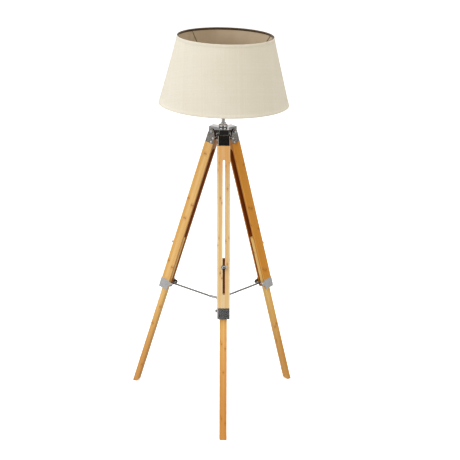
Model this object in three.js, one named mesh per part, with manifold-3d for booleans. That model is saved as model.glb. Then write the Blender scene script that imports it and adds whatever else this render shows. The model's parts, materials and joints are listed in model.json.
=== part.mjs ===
// Tripod floor lamp: three telescopic wooden legs under a folded steel head bracket,
// a spreader of three rods, a neck tube, a lampholder and a tapered fabric shade.
// Millimetres, +Z up. It is drawn with the floor at z = 0 and the lamp's axis at x = y = 0,
// the front leg points along -Y, and the left and right legs stand 120 degrees from it.
// The last lines shift it so that the middle of its footprint is the origin.
//
// Each leg is built in its own leg frame and then tilted into place:
//   x across the leg, y from the outer face to the inner face, z up along the leg.
import * as THREE from 'three';
import { mergeVertices } from 'three/addons/utils/BufferGeometryUtils.js';
import Module from 'manifold-3d';

const wasm = await Module();
wasm.setup();

// ---------- driving dimensions ----------
const GAP = 0.3;                       // clearance between pieces that touch
const LEG_NAMES = ['front', 'left', 'right'];

const TILT = THREE.MathUtils.degToRad(16.787);   // leg from the vertical
const LEG_TOP_RADIUS = 43.7;           // leg line's upper datum, from the lamp's axis
const LEG_TOP_HEIGHT = 995.4;          // and above the floor

const UPPER = { width: 44, depth: 33.6, length: 611, corner: 2.2 };
const LOWER = { width: 25, depth: 20, top: 396, inset: 3.5, corner: 2.4, toe: 9 };
const CHANNEL = { width: 26, top: 22 };
const SLOT = { width: 8.5, from: 50, to: 524.5 };
const TENON = { width: 31, radius: 10.3, inner: 7.5, outer: 14, root: 4.4, stopReach: 6.5, stopHeight: 17 };
const SHOULDER = 20;                   // wood above the datum, inside the cap

const SHEET = 1.2;                     // bracket and cap steel
const CAP = { width: 43.4, outerTop: 34, innerTop: 26, inner: 15, earRadius: 10.5, bend: 2.6 };
const CAP_RIVETS = { lower: [7, 5], upper: [9, 20.5] };   // y and z in the leg frame
const CAP_RIVET = { radius: 2, head: 3.6, headHeight: 1.5 };

const CLAMP_STEEL = 1.5;
const CLAMP = { from: 572, to: 611, width: 44, bend: 2.4, earFrom: 577, earTo: 593, earReach: 34 };
const CLAMP_BOLT = { along: 585, inset: 27, radius: 2, head: 4.6, headHeight: 3.2, nut: 4.4 };

const SLIDE_BOLT = { along: 428, radius: 3, depth: 13 };   // a stud set this deep in the lower leg
const WASHER = { radius: 9, thickness: 1.2 };
const WING = { hub: 6, hubHeight: 7, span: 12.5, width: 7.5, rise: 11, thick: 2.6, stud: 3,
               turn: THREE.MathUtils.degToRad(28) };

const PIVOT = { radius: 36, height: 1036, bolt: 3, head: 5.6, headHeight: 2.6, nut: 5.2 };

const BRACKET = { top: 1054.5, width: 35, reach: 48, faceBottom: 1037, earBottom: 1027,
                  webBottom: 1044, disc: 24, bore: 6.8 };
const BARREL = { radius: 16.5, height: 10.5, bore: 6.55 };
const COLLAR = { foot: 7.9, top: 7.5, height: 5.4, shoulder: 4.6 };
const TUBE = { outer: 6.2, inner: 4.4, bottom: 1031, top: 1153 };
const NECK_SCREW = { radius: 2, head: 2.5, end: 10.2, above: 2.7 };
const LOCK_NUT = { radius: 10.5, height: 6 };
const GLAND = { top: 1030.6, bottom: 1017, collar: 7.6, spout: 5, bore: 3.2 };

const HOLDER = { bottom: 1153.4, neck: 9, shoulder: 17, shoulderHeight: 12, shell: 18.6,
                 flange: 1168, flangeRadius: 21.5, top: 1198, mouth: 14.2 };
const SHADE_RING = { inner: 19, outer: 21.8, bottom: 1171.2, height: 8 };

const SHADE = { bottomRadius: 230, topRadius: 168.7, bottom: 1139, top: 1378.5, skin: 1.2 };
const SHADE_WIRE = 2;                  // radius of the shade's wire rings
const WIRE_INSET = { top: 2.6, bottom: 3.4 };   // of a ring's middle from the cloth's edge
const STRUT = { radius: 1.3, firstAngle: 131.7, hubInner: 19.2, hubOuter: 26, hubHeight: 1170.1 };

const HUB = { height: 405, pin: 30, boss: 8.5, plateInner: 3.6, plate: 1.6, plateEnd: 34.5, half: 3 };
const ROD = { radius: 2.75, eye: 4.8, eyeWidth: 6, hole: 2.25, blade: 2.6, bladeLength: 12, tip: 2.75 };

const SMOOTH = 72;                     // sides of the shade
const WIRE_SIDES = 36;                 // sides of a wire ring, half the shade's
const ROUND = 24;                      // sides of middling turned parts
const SMALL = 10;                      // sides of bolts

// ---------- materials ----------
const material = (color, roughness, metalness) =>
  new THREE.MeshStandardMaterial({ color, roughness, metalness });
const bamboo = () => material(0xe0ae68, 0.5, 0);
const chrome = () => material(0xc9ccd0, 0.12, 1);
const satinSteel = () => material(0xa9abad, 0.35, 1);
const linen = () => material(0xe6ddc8, 0.95, 0);
const wire = () => material(0x5b5042, 0.5, 0.8);
const blackPlastic = () => material(0x1d1d1f, 0.45, 0);
const ceramic = () => material(0xece9e2, 0.3, 0);

// ---------- solids ----------
function toSolid(geometry) {
  const bare = geometry.clone();
  bare.deleteAttribute('normal');
  bare.deleteAttribute('uv');
  const merged = mergeVertices(bare, 1e-4);
  return new wasm.Manifold(new wasm.Mesh({
    numProp: 3,
    vertProperties: new Float32Array(merged.attributes.position.array),
    triVerts: new Uint32Array(merged.index.array),
  }));
}

function toGeometry(solid) {
  const mesh = solid.getMesh();
  const geometry = new THREE.BufferGeometry();
  geometry.setAttribute('position', new THREE.BufferAttribute(mesh.vertProperties, 3));
  geometry.setIndex(new THREE.BufferAttribute(mesh.triVerts, 1));
  geometry.computeVertexNormals();
  return geometry;
}

const join = (first, ...others) => others.reduce((whole, next) => whole.add(next), first);
const cut = (first, ...others) => others.reduce((whole, next) => whole.subtract(next), first);

function meshOf(name, geometryOrSolid, look) {
  const isGeometry = geometryOrSolid instanceof THREE.BufferGeometry;
  const mesh = new THREE.Mesh(isGeometry ? geometryOrSolid : toGeometry(geometryOrSolid), look);
  mesh.name = name;
  return mesh;
}

// A box between two corners.
function block(low, high) {
  const size = high.map((value, axis) => value - low[axis]);
  const box = new THREE.BoxGeometry(...size);
  box.translate(...high.map((value, axis) => (value + low[axis]) / 2));
  return toSolid(box);
}

const AXIS_TURN = {
  x: new THREE.Matrix4().makeRotationZ(-Math.PI / 2),
  y: new THREE.Matrix4(),
  z: new THREE.Matrix4().makeRotationX(Math.PI / 2),
};

// A rod along x, y or z between two positions on that axis, through the point `at`.
function rodAlong(axis, from, to, radius, at = [0, 0, 0], sides = SMALL) {
  const rod = new THREE.CylinderGeometry(radius, radius, to - from, sides);
  rod.applyMatrix4(AXIS_TURN[axis]);
  const middle = [...at];
  middle['xyz'.indexOf(axis)] += (from + to) / 2;
  rod.translate(...middle);
  return toSolid(rod);
}

// A turned solid about z from [radius, z] points that start and end on the axis or close up.
function turned(points, sides = ROUND) {
  const profile = points.map(([radius, z]) => new THREE.Vector2(radius, z));
  if (THREE.ShapeUtils.area(profile) < 0) profile.reverse();
  const lathe = new THREE.LatheGeometry(profile, sides);
  lathe.rotateX(Math.PI / 2);
  return toSolid(lathe);
}

// A turned ring about z: its outline closes on itself.
const turnedRing = (points, sides = ROUND) => turned([...points, points[0]], sides);

function roundedRectangle(left, right, low, high, radius) {
  const shape = new THREE.Shape();
  shape.absarc(right - radius, low + radius, radius, -Math.PI / 2, 0);
  shape.absarc(right - radius, high - radius, radius, 0, Math.PI / 2);
  shape.absarc(left + radius, high - radius, radius, Math.PI / 2, Math.PI);
  shape.absarc(left + radius, low + radius, radius, Math.PI, 1.5 * Math.PI);
  return shape;
}

function stadium(halfWidth, low, high) {
  const shape = new THREE.Shape();
  shape.absarc(0, low + halfWidth, halfWidth, Math.PI, 2 * Math.PI);
  shape.absarc(0, high - halfWidth, halfWidth, 0, Math.PI);
  return shape;
}

function polygon(points) {
  return new THREE.Shape(points.map(([u, v]) => new THREE.Vector2(u, v)));
}

const extrude = (shape, depth, curveSegments = 4) =>
  new THREE.ExtrudeGeometry(shape, { depth, bevelEnabled: false, steps: 1, curveSegments });

// An x-y section pulled up along z.
function barAlongZ(shape, from, to, curveSegments = 3) {
  const bar = extrude(shape, to - from, curveSegments);
  bar.translate(0, 0, from);
  return toSolid(bar);
}

// A y-z side profile pulled across x, centred on x = 0.
function slabAcrossX(shape, width, curveSegments = 6) {
  const slab = extrude(shape, width, curveSegments);
  const basis = new THREE.Matrix4().makeBasis(
    new THREE.Vector3(0, 1, 0), new THREE.Vector3(0, 0, 1), new THREE.Vector3(1, 0, 0));
  slab.applyMatrix4(basis);
  slab.translate(-width / 2, 0, 0);
  return toSolid(slab);
}

// An x-z outline pulled from one y to a smaller one.
function slabAlongY(shape, highY, lowY, curveSegments = 6) {
  const slab = extrude(shape, highY - lowY, curveSegments);
  const basis = new THREE.Matrix4().makeBasis(
    new THREE.Vector3(1, 0, 0), new THREE.Vector3(0, 0, 1), new THREE.Vector3(0, -1, 0));
  slab.applyMatrix4(basis);
  slab.translate(0, highY, 0);
  return toSolid(slab);
}

// ---------- leg frame ----------
const halfUpper = UPPER.width / 2;
const outerFace = -UPPER.depth / 2;
const innerFace = UPPER.depth / 2;
const lowerOuter = LOWER.inset - LOWER.depth / 2;
const lowerInner = LOWER.inset + LOWER.depth / 2;
const channelFloor = lowerOuter - 0.5;
const sidePlate = CAP.width / 2 - SHEET - GAP;      // half width of the wood between the cap's sides

// A direction in the leg's upright plane (outward, up) turned into leg-frame (y, z).
function planeToLeg(outward, up) {
  return [
    -(outward * Math.cos(TILT) + up * Math.sin(TILT)),
    -(outward * Math.sin(TILT) - up * Math.cos(TILT)),
  ];
}

const [pivotY, pivotZ] = planeToLeg(PIVOT.radius - LEG_TOP_RADIUS, PIVOT.height - LEG_TOP_HEIGHT);

// Where the floor crosses the leg frame at a given y.
const floorAt = (y) => -(LEG_TOP_HEIGHT - y * Math.sin(TILT)) / Math.cos(TILT);

const rivetHoles = () => Object.values(CAP_RIVETS).map(([y, z]) =>
  rodAlong('x', -halfUpper - 1, halfUpper + 1, CAP_RIVET.radius + GAP, [0, y, z]));

function upperLeg() {
  const clampHalf = CLAMP.width / 2 - CLAMP_STEEL - GAP;
  const section = roundedRectangle(-halfUpper, halfUpper, outerFace, innerFace, UPPER.corner);
  const clampedSection = roundedRectangle(-clampHalf, clampHalf, outerFace, innerFace, 1);
  const cappedSection = roundedRectangle(-sidePlate, sidePlate, outerFace + SHEET + 2 * GAP, innerFace, 1);
  const tenonBox = block(
    [-TENON.width / 2, pivotY - TENON.outer + TENON.root, SHOULDER - 2],
    [TENON.width / 2, pivotY + TENON.inner, pivotZ]);
  const stopCorner = [[0, 0], [TENON.stopReach, 0], [TENON.stopReach, TENON.stopHeight], [0, TENON.stopHeight]]
    .map(([outward, up]) => planeToLeg(outward, up))
    .map(([y, z]) => [y + pivotY, z + pivotZ]);
  const wood = join(
    barAlongZ(section, -CLAMP.from + GAP, -GAP),
    barAlongZ(clampedSection, -UPPER.length, -CLAMP.from + 2 * GAP),
    barAlongZ(cappedSection, -2 * GAP, SHOULDER),
    tenonBox,
    rodAlong('x', -TENON.width / 2, TENON.width / 2, TENON.radius, [0, pivotY, pivotZ], 16),
    slabAcrossX(polygon(stopCorner), TENON.width));
  const channel = stadium(CHANNEL.width / 2, -UPPER.length - CHANNEL.width, -CHANNEL.top);
  const slot = stadium(SLOT.width / 2, -SLOT.to, -SLOT.from);
  return cut(
    wood,
    slabAlongY(channel, innerFace + 1, channelFloor),
    slabAlongY(slot, channelFloor + 1, outerFace - 1),
    rodAlong('x', -TENON.width, TENON.width, PIVOT.bolt + GAP, [0, pivotY, pivotZ]),
    ...rivetHoles());
}

function lowerLeg() {
  const section = roundedRectangle(-LOWER.width / 2, LOWER.width / 2, lowerOuter, lowerInner, LOWER.corner);
  const bar = barAlongZ(section, floorAt(0) - 20, -LOWER.top);
  const sideView = new THREE.Shape();
  sideView.moveTo(lowerOuter - 1, -LOWER.top + 1);
  sideView.lineTo(lowerOuter - 1, floorAt(lowerOuter - 1));
  sideView.lineTo(lowerInner - LOWER.toe, floorAt(lowerInner - LOWER.toe));
  sideView.quadraticCurveTo(
    lowerInner, floorAt(lowerInner), lowerInner, floorAt(lowerInner) + LOWER.toe);
  sideView.lineTo(lowerInner + 1, -LOWER.top + 1);
  return cut(
    bar.intersect(slabAcrossX(sideView, LOWER.width + 2)),
    rodAlong('y', lowerOuter - 1, lowerOuter + SLIDE_BOLT.depth + GAP, SLIDE_BOLT.radius + GAP,
      [0, 0, -SLIDE_BOLT.along]));
}

// A sheet bent round the leg's outer face and both sides, open on the inner face.
function wrap(width, outer, inner, steel, bend, from, to) {
  const skin = roundedRectangle(-width / 2, width / 2, outer, inner + bend + 5, bend);
  const hollow = roundedRectangle(
    -width / 2 + steel, width / 2 - steel, outer + steel, inner + bend + 9, bend - steel);
  return cut(barAlongZ(skin, from, to, 4), barAlongZ(hollow, from - 1, to + 1, 4));
}

function topCap() {
  const outer = outerFace + GAP;
  const sheet = wrap(CAP.width, outer, CAP.inner, SHEET, CAP.bend, 0, pivotZ + CAP.earRadius + 1);
  const sideView = new THREE.Shape();
  sideView.moveTo(outer - 1, 0);
  sideView.lineTo(outer - 1, CAP.outerTop);
  sideView.lineTo(outer + 1.6, CAP.outerTop);
  sideView.lineTo(pivotY - CAP.earRadius, pivotZ);
  sideView.absarc(pivotY, pivotZ, CAP.earRadius, Math.PI, 0.2 * Math.PI, true);
  sideView.lineTo(CAP.inner, CAP.innerTop);
  sideView.lineTo(CAP.inner, 0);
  return cut(
    sheet.intersect(slabAcrossX(sideView, CAP.width + 2)),
    rodAlong('x', -CAP.width, CAP.width, PIVOT.bolt + GAP, [0, pivotY, pivotZ]),
    ...rivetHoles());
}

// A rivet or bolt across x with a domed head at each end it is given.
function domeAcross(sign, seat, radius, height, at) {
  const dome = turned([[0, height], [radius * 0.6, height * 0.8], [radius, 0], [0, 0]], SMALL);
  const turn = new THREE.Matrix4().makeRotationY(sign * Math.PI / 2);
  const geometry = toGeometry(dome).applyMatrix4(turn);
  geometry.translate(sign * seat, at[1], at[2]);
  return toSolid(geometry);
}

function capRivet([y, z]) {
  const seat = CAP.width / 2 + GAP;
  const at = [0, y, z];
  return join(
    rodAlong('x', -seat - 0.2, seat + 0.2, CAP_RIVET.radius, at),
    domeAcross(1, seat, CAP_RIVET.head, CAP_RIVET.headHeight, at),
    domeAcross(-1, seat, CAP_RIVET.head, CAP_RIVET.headHeight, at));
}

// A bolt across x: domed head on the +x side, shank end past the nut on the -x side.
function boltAcross(seat, bolt, nutHeight, at) {
  return join(
    rodAlong('x', -seat - nutHeight - 2, seat + 0.2, bolt.radius, at),
    domeAcross(1, seat, bolt.head, bolt.headHeight, at));
}

function nutAcross(seat, radius, height, hole, at) {
  return cut(
    rodAlong('x', -seat - height, -seat, radius, at, 6),
    rodAlong('x', -seat - height - 1, -seat + 1, hole, at));
}

const pivotAt = [0, pivotY, pivotZ];
const pivotSeat = CAP.width / 2 + GAP;
const PIVOT_NUT_HEIGHT = 3.4;
const CLAMP_NUT_HEIGHT = 3.2;

const pivotBolt = () =>
  boltAcross(pivotSeat, { radius: PIVOT.bolt, head: PIVOT.head, headHeight: PIVOT.headHeight },
    PIVOT_NUT_HEIGHT, pivotAt);
const pivotNut = () => nutAcross(pivotSeat, PIVOT.nut, PIVOT_NUT_HEIGHT, PIVOT.bolt + GAP, pivotAt);

const clampBoltAt = [0, CLAMP_BOLT.inset, -CLAMP_BOLT.along];
const clampSeat = CLAMP.width / 2 + GAP;

function clampBand() {
  const outer = outerFace - CLAMP_STEEL - GAP;
  const sheet = wrap(CLAMP.width, outer, CLAMP.earReach, CLAMP_STEEL, CLAMP.bend, -CLAMP.to, -CLAMP.from);
  const earMiddle = -(CLAMP.earFrom + CLAMP.earTo) / 2;
  const earHalf = (CLAMP.earTo - CLAMP.earFrom) / 2;
  const sideView = new THREE.Shape();
  sideView.moveTo(outer - 1, -CLAMP.to);
  sideView.lineTo(innerFace + 1, -CLAMP.to);
  sideView.lineTo(innerFace + 1.6, -CLAMP.earTo);
  sideView.absarc(CLAMP.earReach - earHalf, earMiddle, earHalf, -Math.PI / 2, Math.PI / 2);
  sideView.lineTo(innerFace + 1.6, -CLAMP.earFrom);
  sideView.lineTo(innerFace + 1, -CLAMP.from);
  sideView.lineTo(outer - 1, -CLAMP.from);
  return cut(
    sheet.intersect(slabAcrossX(sideView, CLAMP.width + 2)),
    rodAlong('x', -CLAMP.width, CLAMP.width, CLAMP_BOLT.radius + GAP, clampBoltAt));
}

const clampBolt = () => boltAcross(clampSeat, CLAMP_BOLT, CLAMP_NUT_HEIGHT, clampBoltAt);
const clampNut = () =>
  nutAcross(clampSeat, CLAMP_BOLT.nut, CLAMP_NUT_HEIGHT, CLAMP_BOLT.radius + GAP, clampBoltAt);

const slideAt = [0, 0, -SLIDE_BOLT.along];

const washerSeat = outerFace - GAP;
const wingSeat = washerSeat - WASHER.thickness - GAP;

const slideBolt = () => rodAlong('y', wingSeat - WING.hubHeight - WING.stud,
  lowerOuter + SLIDE_BOLT.depth, SLIDE_BOLT.radius, slideAt);

const slideWasher = () => cut(
  rodAlong('y', washerSeat - WASHER.thickness, washerSeat, WASHER.radius, slideAt, ROUND),
  rodAlong('y', wingSeat, outerFace, SLIDE_BOLT.radius + GAP, slideAt));

// One wing's outline: x runs out from the nut's middle, the other way is outward from the leg.
function wingOutline(side) {
  const middle = side * (WING.span - WING.width / 2);
  const shape = new THREE.Shape();
  shape.moveTo(0, 1);
  shape.lineTo(side * WING.hub, 1);
  shape.absarc(middle, WING.rise - WING.width / 2, WING.width / 2,
    side > 0 ? -Math.PI / 4 : -0.75 * Math.PI, side > 0 ? 0.75 * Math.PI : 0.25 * Math.PI, side < 0);
  shape.lineTo(0, WING.hubHeight - 1);
  return shape;
}

function wingNut() {
  const toOutward = new THREE.Matrix4().makeBasis(
    new THREE.Vector3(1, 0, 0), new THREE.Vector3(0, -1, 0), new THREE.Vector3(0, 0, -1));
  const wings = [1, -1].map((side) => {
    const wing = extrude(wingOutline(side), WING.thick, 5);
    wing.translate(0, 0, -WING.thick / 2);
    wing.applyMatrix4(toOutward);
    wing.rotateY(WING.turn);
    wing.translate(0, wingSeat, -SLIDE_BOLT.along);
    return toSolid(wing);
  });
  const hub = rodAlong('y', wingSeat - WING.hubHeight, wingSeat, WING.hub, slideAt);
  const hole = rodAlong('y', wingSeat - WING.rise - 1, wingSeat + 1, SLIDE_BOLT.radius + GAP, slideAt);
  return cut(join(hub, ...wings), hole);
}

function leg(name, turn) {
  const frame = new THREE.Group();
  frame.position.set(0, -LEG_TOP_RADIUS, LEG_TOP_HEIGHT);
  frame.rotation.x = -TILT;
  frame.add(
    meshOf(`${name}_upper_leg`, upperLeg(), bamboo()),
    meshOf(`${name}_lower_leg`, lowerLeg(), bamboo()),
    meshOf(`${name}_top_cap`, topCap(), chrome()),
    meshOf(`${name}_cap_rivet_lower`, capRivet(CAP_RIVETS.lower), chrome()),
    meshOf(`${name}_cap_rivet_upper`, capRivet(CAP_RIVETS.upper), chrome()),
    meshOf(`${name}_pivot_bolt`, pivotBolt(), chrome()),
    meshOf(`${name}_pivot_nut`, pivotNut(), chrome()),
    meshOf(`${name}_clamp_band`, clampBand(), satinSteel()),
    meshOf(`${name}_clamp_bolt`, clampBolt(), satinSteel()),
    meshOf(`${name}_clamp_nut`, clampNut(), satinSteel()),
    meshOf(`${name}_slide_bolt`, slideBolt(), satinSteel()),
    meshOf(`${name}_slide_washer`, slideWasher(), chrome()),
    meshOf(`${name}_wing_nut`, wingNut(), chrome()));
  const placed = new THREE.Group();
  placed.rotation.z = turn;
  placed.add(frame, meshOf(`${name}_spreader_rod`, spreaderRod(), chrome()));
  return placed;
}

// ---------- spreader ----------
// The rod is drawn in the leg's upright plane: y is minus the distance from the axis.
const boltOutward = LEG_TOP_RADIUS + CLAMP_BOLT.along * Math.sin(TILT) - CLAMP_BOLT.inset * Math.cos(TILT);
const boltHeight = LEG_TOP_HEIGHT - CLAMP_BOLT.along * Math.cos(TILT) - CLAMP_BOLT.inset * Math.sin(TILT);

function spreaderRod() {
  const length = Math.hypot(boltOutward - HUB.pin, boltHeight - HUB.height);
  const slope = Math.atan2(boltHeight - HUB.height, boltOutward - HUB.pin);
  // Drawn along +y from the clamp bolt at the origin to the hub pin at y = length.
  const shank = rodAlong('y', ROD.eye - 1, length - ROD.bladeLength + 2, ROD.radius, [0, 0, 0]);
  const eye = rodAlong('x', -ROD.eyeWidth / 2, ROD.eyeWidth / 2, ROD.eye, [0, 0, 0], 16);
  const eyeHole = rodAlong('x', -ROD.eyeWidth, ROD.eyeWidth, ROD.hole, [0, 0, 0]);
  const blade = block(
    [-ROD.blade / 2, length - ROD.bladeLength, -ROD.tip], [ROD.blade / 2, length, ROD.tip]);
  const tip = rodAlong('x', -ROD.blade / 2, ROD.blade / 2, ROD.tip, [0, length, 0]);
  const tipHole = rodAlong('x', -ROD.blade, ROD.blade, 1.6, [0, length, 0]);
  const geometry = toGeometry(cut(join(shank, eye, blade, tip), eyeHole, tipHole));
  geometry.rotateX(-slope);
  geometry.translate(0, -boltOutward, boltHeight);
  return geometry;
}

function spreaderHub() {
  const boss = rodAlong('z', HUB.height - HUB.half - 1, HUB.height + HUB.half + 1, HUB.boss, [0, 0, 0], ROUND);
  const plates = LEG_NAMES.flatMap((_, index) => [-1, 1].map((side) => {
    const near = side * HUB.plateInner;
    const far = side * (HUB.plateInner + HUB.plate);
    const plate = new THREE.BoxGeometry(HUB.plate, HUB.plateEnd - 4, 2 * HUB.half);
    plate.translate((near + far) / 2, -(HUB.plateEnd + 4) / 2, HUB.height);
    plate.rotateZ(-index * 2 * Math.PI / 3);
    return toSolid(plate);
  }));
  return join(boss, ...plates);
}

// ---------- head ----------
function armSolid(width, profile, index) {
  const geometry = toGeometry(slabAcrossX(profile, width));
  geometry.rotateZ(-index * 2 * Math.PI / 3);
  return toSolid(geometry);
}

function headBracket() {
  const outline = new THREE.Shape();
  outline.moveTo(0, BRACKET.top);
  outline.lineTo(-BRACKET.reach, BRACKET.top);
  outline.lineTo(-BRACKET.reach, BRACKET.faceBottom);
  outline.lineTo(-PIVOT.radius - 10, BRACKET.faceBottom - 4);
  outline.absarc(-PIVOT.radius, PIVOT.height, 9, -0.8 * Math.PI, -0.25 * Math.PI);
  outline.quadraticCurveTo(-PIVOT.radius + 10, BRACKET.webBottom, -PIVOT.radius + 18, BRACKET.webBottom);
  outline.lineTo(0, BRACKET.webBottom);
  const inside = polygon([
    [2, BRACKET.earBottom - 2], [2, BRACKET.top - SHEET],
    [-BRACKET.reach + SHEET, BRACKET.top - SHEET], [-BRACKET.reach + SHEET, BRACKET.earBottom - 2]]);
  const arms = LEG_NAMES.map((_, index) => armSolid(BRACKET.width, outline, index));
  const hollows = LEG_NAMES.map((_, index) => armSolid(BRACKET.width - 2 * SHEET, inside, index));
  const disc = rodAlong('z', BRACKET.top - SHEET, BRACKET.top, BRACKET.disc, [0, 0, 0], 2 * ROUND);
  const pivotHoles = LEG_NAMES.map((_, index) => {
    const geometry = toGeometry(rodAlong('x', -BRACKET.width, BRACKET.width, PIVOT.bolt + GAP,
      [0, -PIVOT.radius, PIVOT.height]));
    geometry.rotateZ(-index * 2 * Math.PI / 3);
    return toSolid(geometry);
  });
  return cut(
    join(cut(join(...arms), ...hollows), disc),
    rodAlong('z', BRACKET.webBottom, BRACKET.top + 1, BRACKET.bore, [0, 0, 0], ROUND),
    ...pivotHoles);
}

const barrelBottom = BRACKET.top + GAP;
const barrelTop = barrelBottom + BARREL.height;

const barrel = () => turnedRing([
  [BARREL.bore, barrelBottom], [BARREL.radius - 1, barrelBottom], [BARREL.radius, barrelBottom + 1.2],
  [BARREL.radius, barrelTop - 4.5], [BARREL.radius - 1.3, barrelTop - 1.9],
  [BARREL.radius - 4.5, barrelTop - 0.4], [BARREL.radius - 7, barrelTop], [BARREL.bore, barrelTop]], 1.5 * ROUND);

const collarBottom = barrelTop + GAP;

function neckCollar() {
  const body = turnedRing([
    [BARREL.bore, collarBottom], [COLLAR.foot, collarBottom], [COLLAR.foot, collarBottom + COLLAR.shoulder],
    [COLLAR.top, collarBottom + COLLAR.height], [BARREL.bore, collarBottom + COLLAR.height]]);
  return cut(body, rodAlong('x', 0, 2 * COLLAR.foot, NECK_SCREW.radius + GAP,
    [0, 0, collarBottom + NECK_SCREW.above]));
}

function neckScrew() {
  const at = [0, 0, collarBottom + NECK_SCREW.above];
  return join(
    rodAlong('x', BARREL.bore, NECK_SCREW.end - 1, NECK_SCREW.radius, at),
    rodAlong('x', COLLAR.foot + GAP, NECK_SCREW.end, NECK_SCREW.head, at));
}

const neckTube = () => turnedRing([
  [TUBE.inner, TUBE.bottom], [TUBE.outer, TUBE.bottom], [TUBE.outer, TUBE.top], [TUBE.inner, TUBE.top]]);

function lockNut() {
  const top = BRACKET.top - SHEET - GAP;
  return cut(
    rodAlong('z', top - LOCK_NUT.height, top, LOCK_NUT.radius, [0, 0, 0], 6),
    rodAlong('z', top - LOCK_NUT.height - 1, top + 1, TUBE.outer + GAP, [0, 0, 0], ROUND));
}

const cableGland = () => turnedRing([
  [GLAND.bore, GLAND.bottom], [GLAND.spout, GLAND.bottom], [GLAND.spout + 0.8, GLAND.top - 6],
  [GLAND.collar, GLAND.top - 5], [GLAND.collar, GLAND.top], [GLAND.bore, GLAND.top]]);

// ---------- lampholder ----------
const holderBase = () => turnedRing([
  [TUBE.inner, HOLDER.bottom], [HOLDER.neck, HOLDER.bottom], [HOLDER.neck, HOLDER.bottom + 4],
  [HOLDER.shoulder, HOLDER.bottom + HOLDER.shoulderHeight],
  [HOLDER.shoulder - 2, HOLDER.bottom + HOLDER.shoulderHeight],
  [TUBE.inner, HOLDER.bottom + 5]]);

const shellBottom = HOLDER.bottom + HOLDER.shoulderHeight + GAP;

const holderShell = () => turnedRing([
  [HOLDER.mouth + 1.6, shellBottom], [HOLDER.shell - 1, shellBottom], [HOLDER.shell - 1, HOLDER.flange - 0.4],
  [HOLDER.flangeRadius, HOLDER.flange - 0.4], [HOLDER.flangeRadius, HOLDER.flange + 1],
  [HOLDER.shell - 0.4, HOLDER.flange + 1], [HOLDER.shell - 0.4, HOLDER.top - 1],
  [HOLDER.shell - 1.4, HOLDER.top], [HOLDER.mouth + 0.4, HOLDER.top], [HOLDER.mouth + 0.4, HOLDER.top - 12],
  [HOLDER.mouth + 1.6, HOLDER.top - 12]]);

const contactTop = shellBottom + 9;

const holderInsert = () => turned([
  [0, shellBottom + 1], [HOLDER.mouth + 1.2, shellBottom + 1], [HOLDER.mouth + 1.2, contactTop],
  [0, contactTop]]);

const centreContact = () => turned([
  [0, contactTop + GAP], [3.6, contactTop + GAP], [2.6, contactTop + 2.4], [0, contactTop + 3]], SMALL);

function shadeRing() {
  const ribs = Array.from({ length: 12 }, (_, index) => {
    const rib = new THREE.CylinderGeometry(1.1, 1.1, SHADE_RING.height - 2, 6);
    rib.rotateX(Math.PI / 2);
    rib.translate(SHADE_RING.outer - 0.2, 0, SHADE_RING.bottom + SHADE_RING.height / 2);
    rib.rotateZ(index * Math.PI / 6);
    return toSolid(rib);
  });
  const top = SHADE_RING.bottom + SHADE_RING.height;
  const body = turnedRing([
    [SHADE_RING.inner, SHADE_RING.bottom], [SHADE_RING.outer, SHADE_RING.bottom],
    [SHADE_RING.outer, top - 1], [SHADE_RING.outer - 1, top], [SHADE_RING.inner, top]]);
  return join(body, ...ribs);
}

// ---------- shade ----------
const shadeSlope = (SHADE.bottomRadius - SHADE.topRadius) / (SHADE.top - SHADE.bottom);
const shadeRadiusAt = (z) => SHADE.bottomRadius - shadeSlope * (z - SHADE.bottom);

const shadeSkin = () => turnedRing([
  [SHADE.bottomRadius - SHADE.skin, SHADE.bottom], [SHADE.bottomRadius, SHADE.bottom],
  [SHADE.topRadius, SHADE.top], [SHADE.topRadius - SHADE.skin, SHADE.top]], SMOOTH);

function wireRing(z) {
  const radius = shadeRadiusAt(z) - SHADE.skin - GAP - SHADE_WIRE * 1.2;
  const ring = new THREE.TorusGeometry(radius, SHADE_WIRE, 6, WIRE_SIDES);
  ring.translate(0, 0, z);
  return { solid: toSolid(ring), radius };
}

const topRingHeight = SHADE.top - WIRE_INSET.top;
const bottomRingHeight = SHADE.bottom + WIRE_INSET.bottom;

// The carrier is one welded piece: the top ring, three struts and the plate over the lampholder.
function shadeCarrier() {
  const { solid, radius } = wireRing(topRingHeight);
  const seat = turnedRing([
    [STRUT.hubInner, STRUT.hubHeight - 0.8], [STRUT.hubOuter, STRUT.hubHeight - 0.8],
    [STRUT.hubOuter, STRUT.hubHeight + 0.8], [STRUT.hubInner, STRUT.hubHeight + 0.8]]);
  const struts = LEG_NAMES.map((_, index) => {
    const angle = THREE.MathUtils.degToRad(STRUT.firstAngle - 120 * index);
    const from = new THREE.Vector3(STRUT.hubOuter - 1, 0, STRUT.hubHeight);
    const elbow = new THREE.Vector3(STRUT.hubOuter + 4, 0, STRUT.hubHeight + 1);
    const to = new THREE.Vector3(radius, 0, topRingHeight);
    const path = new THREE.CatmullRomCurve3([
      from, elbow, new THREE.Vector3().lerpVectors(elbow, to, 0.08).add(new THREE.Vector3(1, 0, -1)), to]);
    const section = new THREE.Shape();
    section.absarc(0, 0, STRUT.radius, 0, 2 * Math.PI);
    const strut = new THREE.ExtrudeGeometry(section,
      { steps: 8, extrudePath: path, curveSegments: 3, bevelEnabled: false });
    strut.rotateZ(angle);
    return toSolid(strut);
  });
  return join(solid, seat, ...struts);
}

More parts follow.
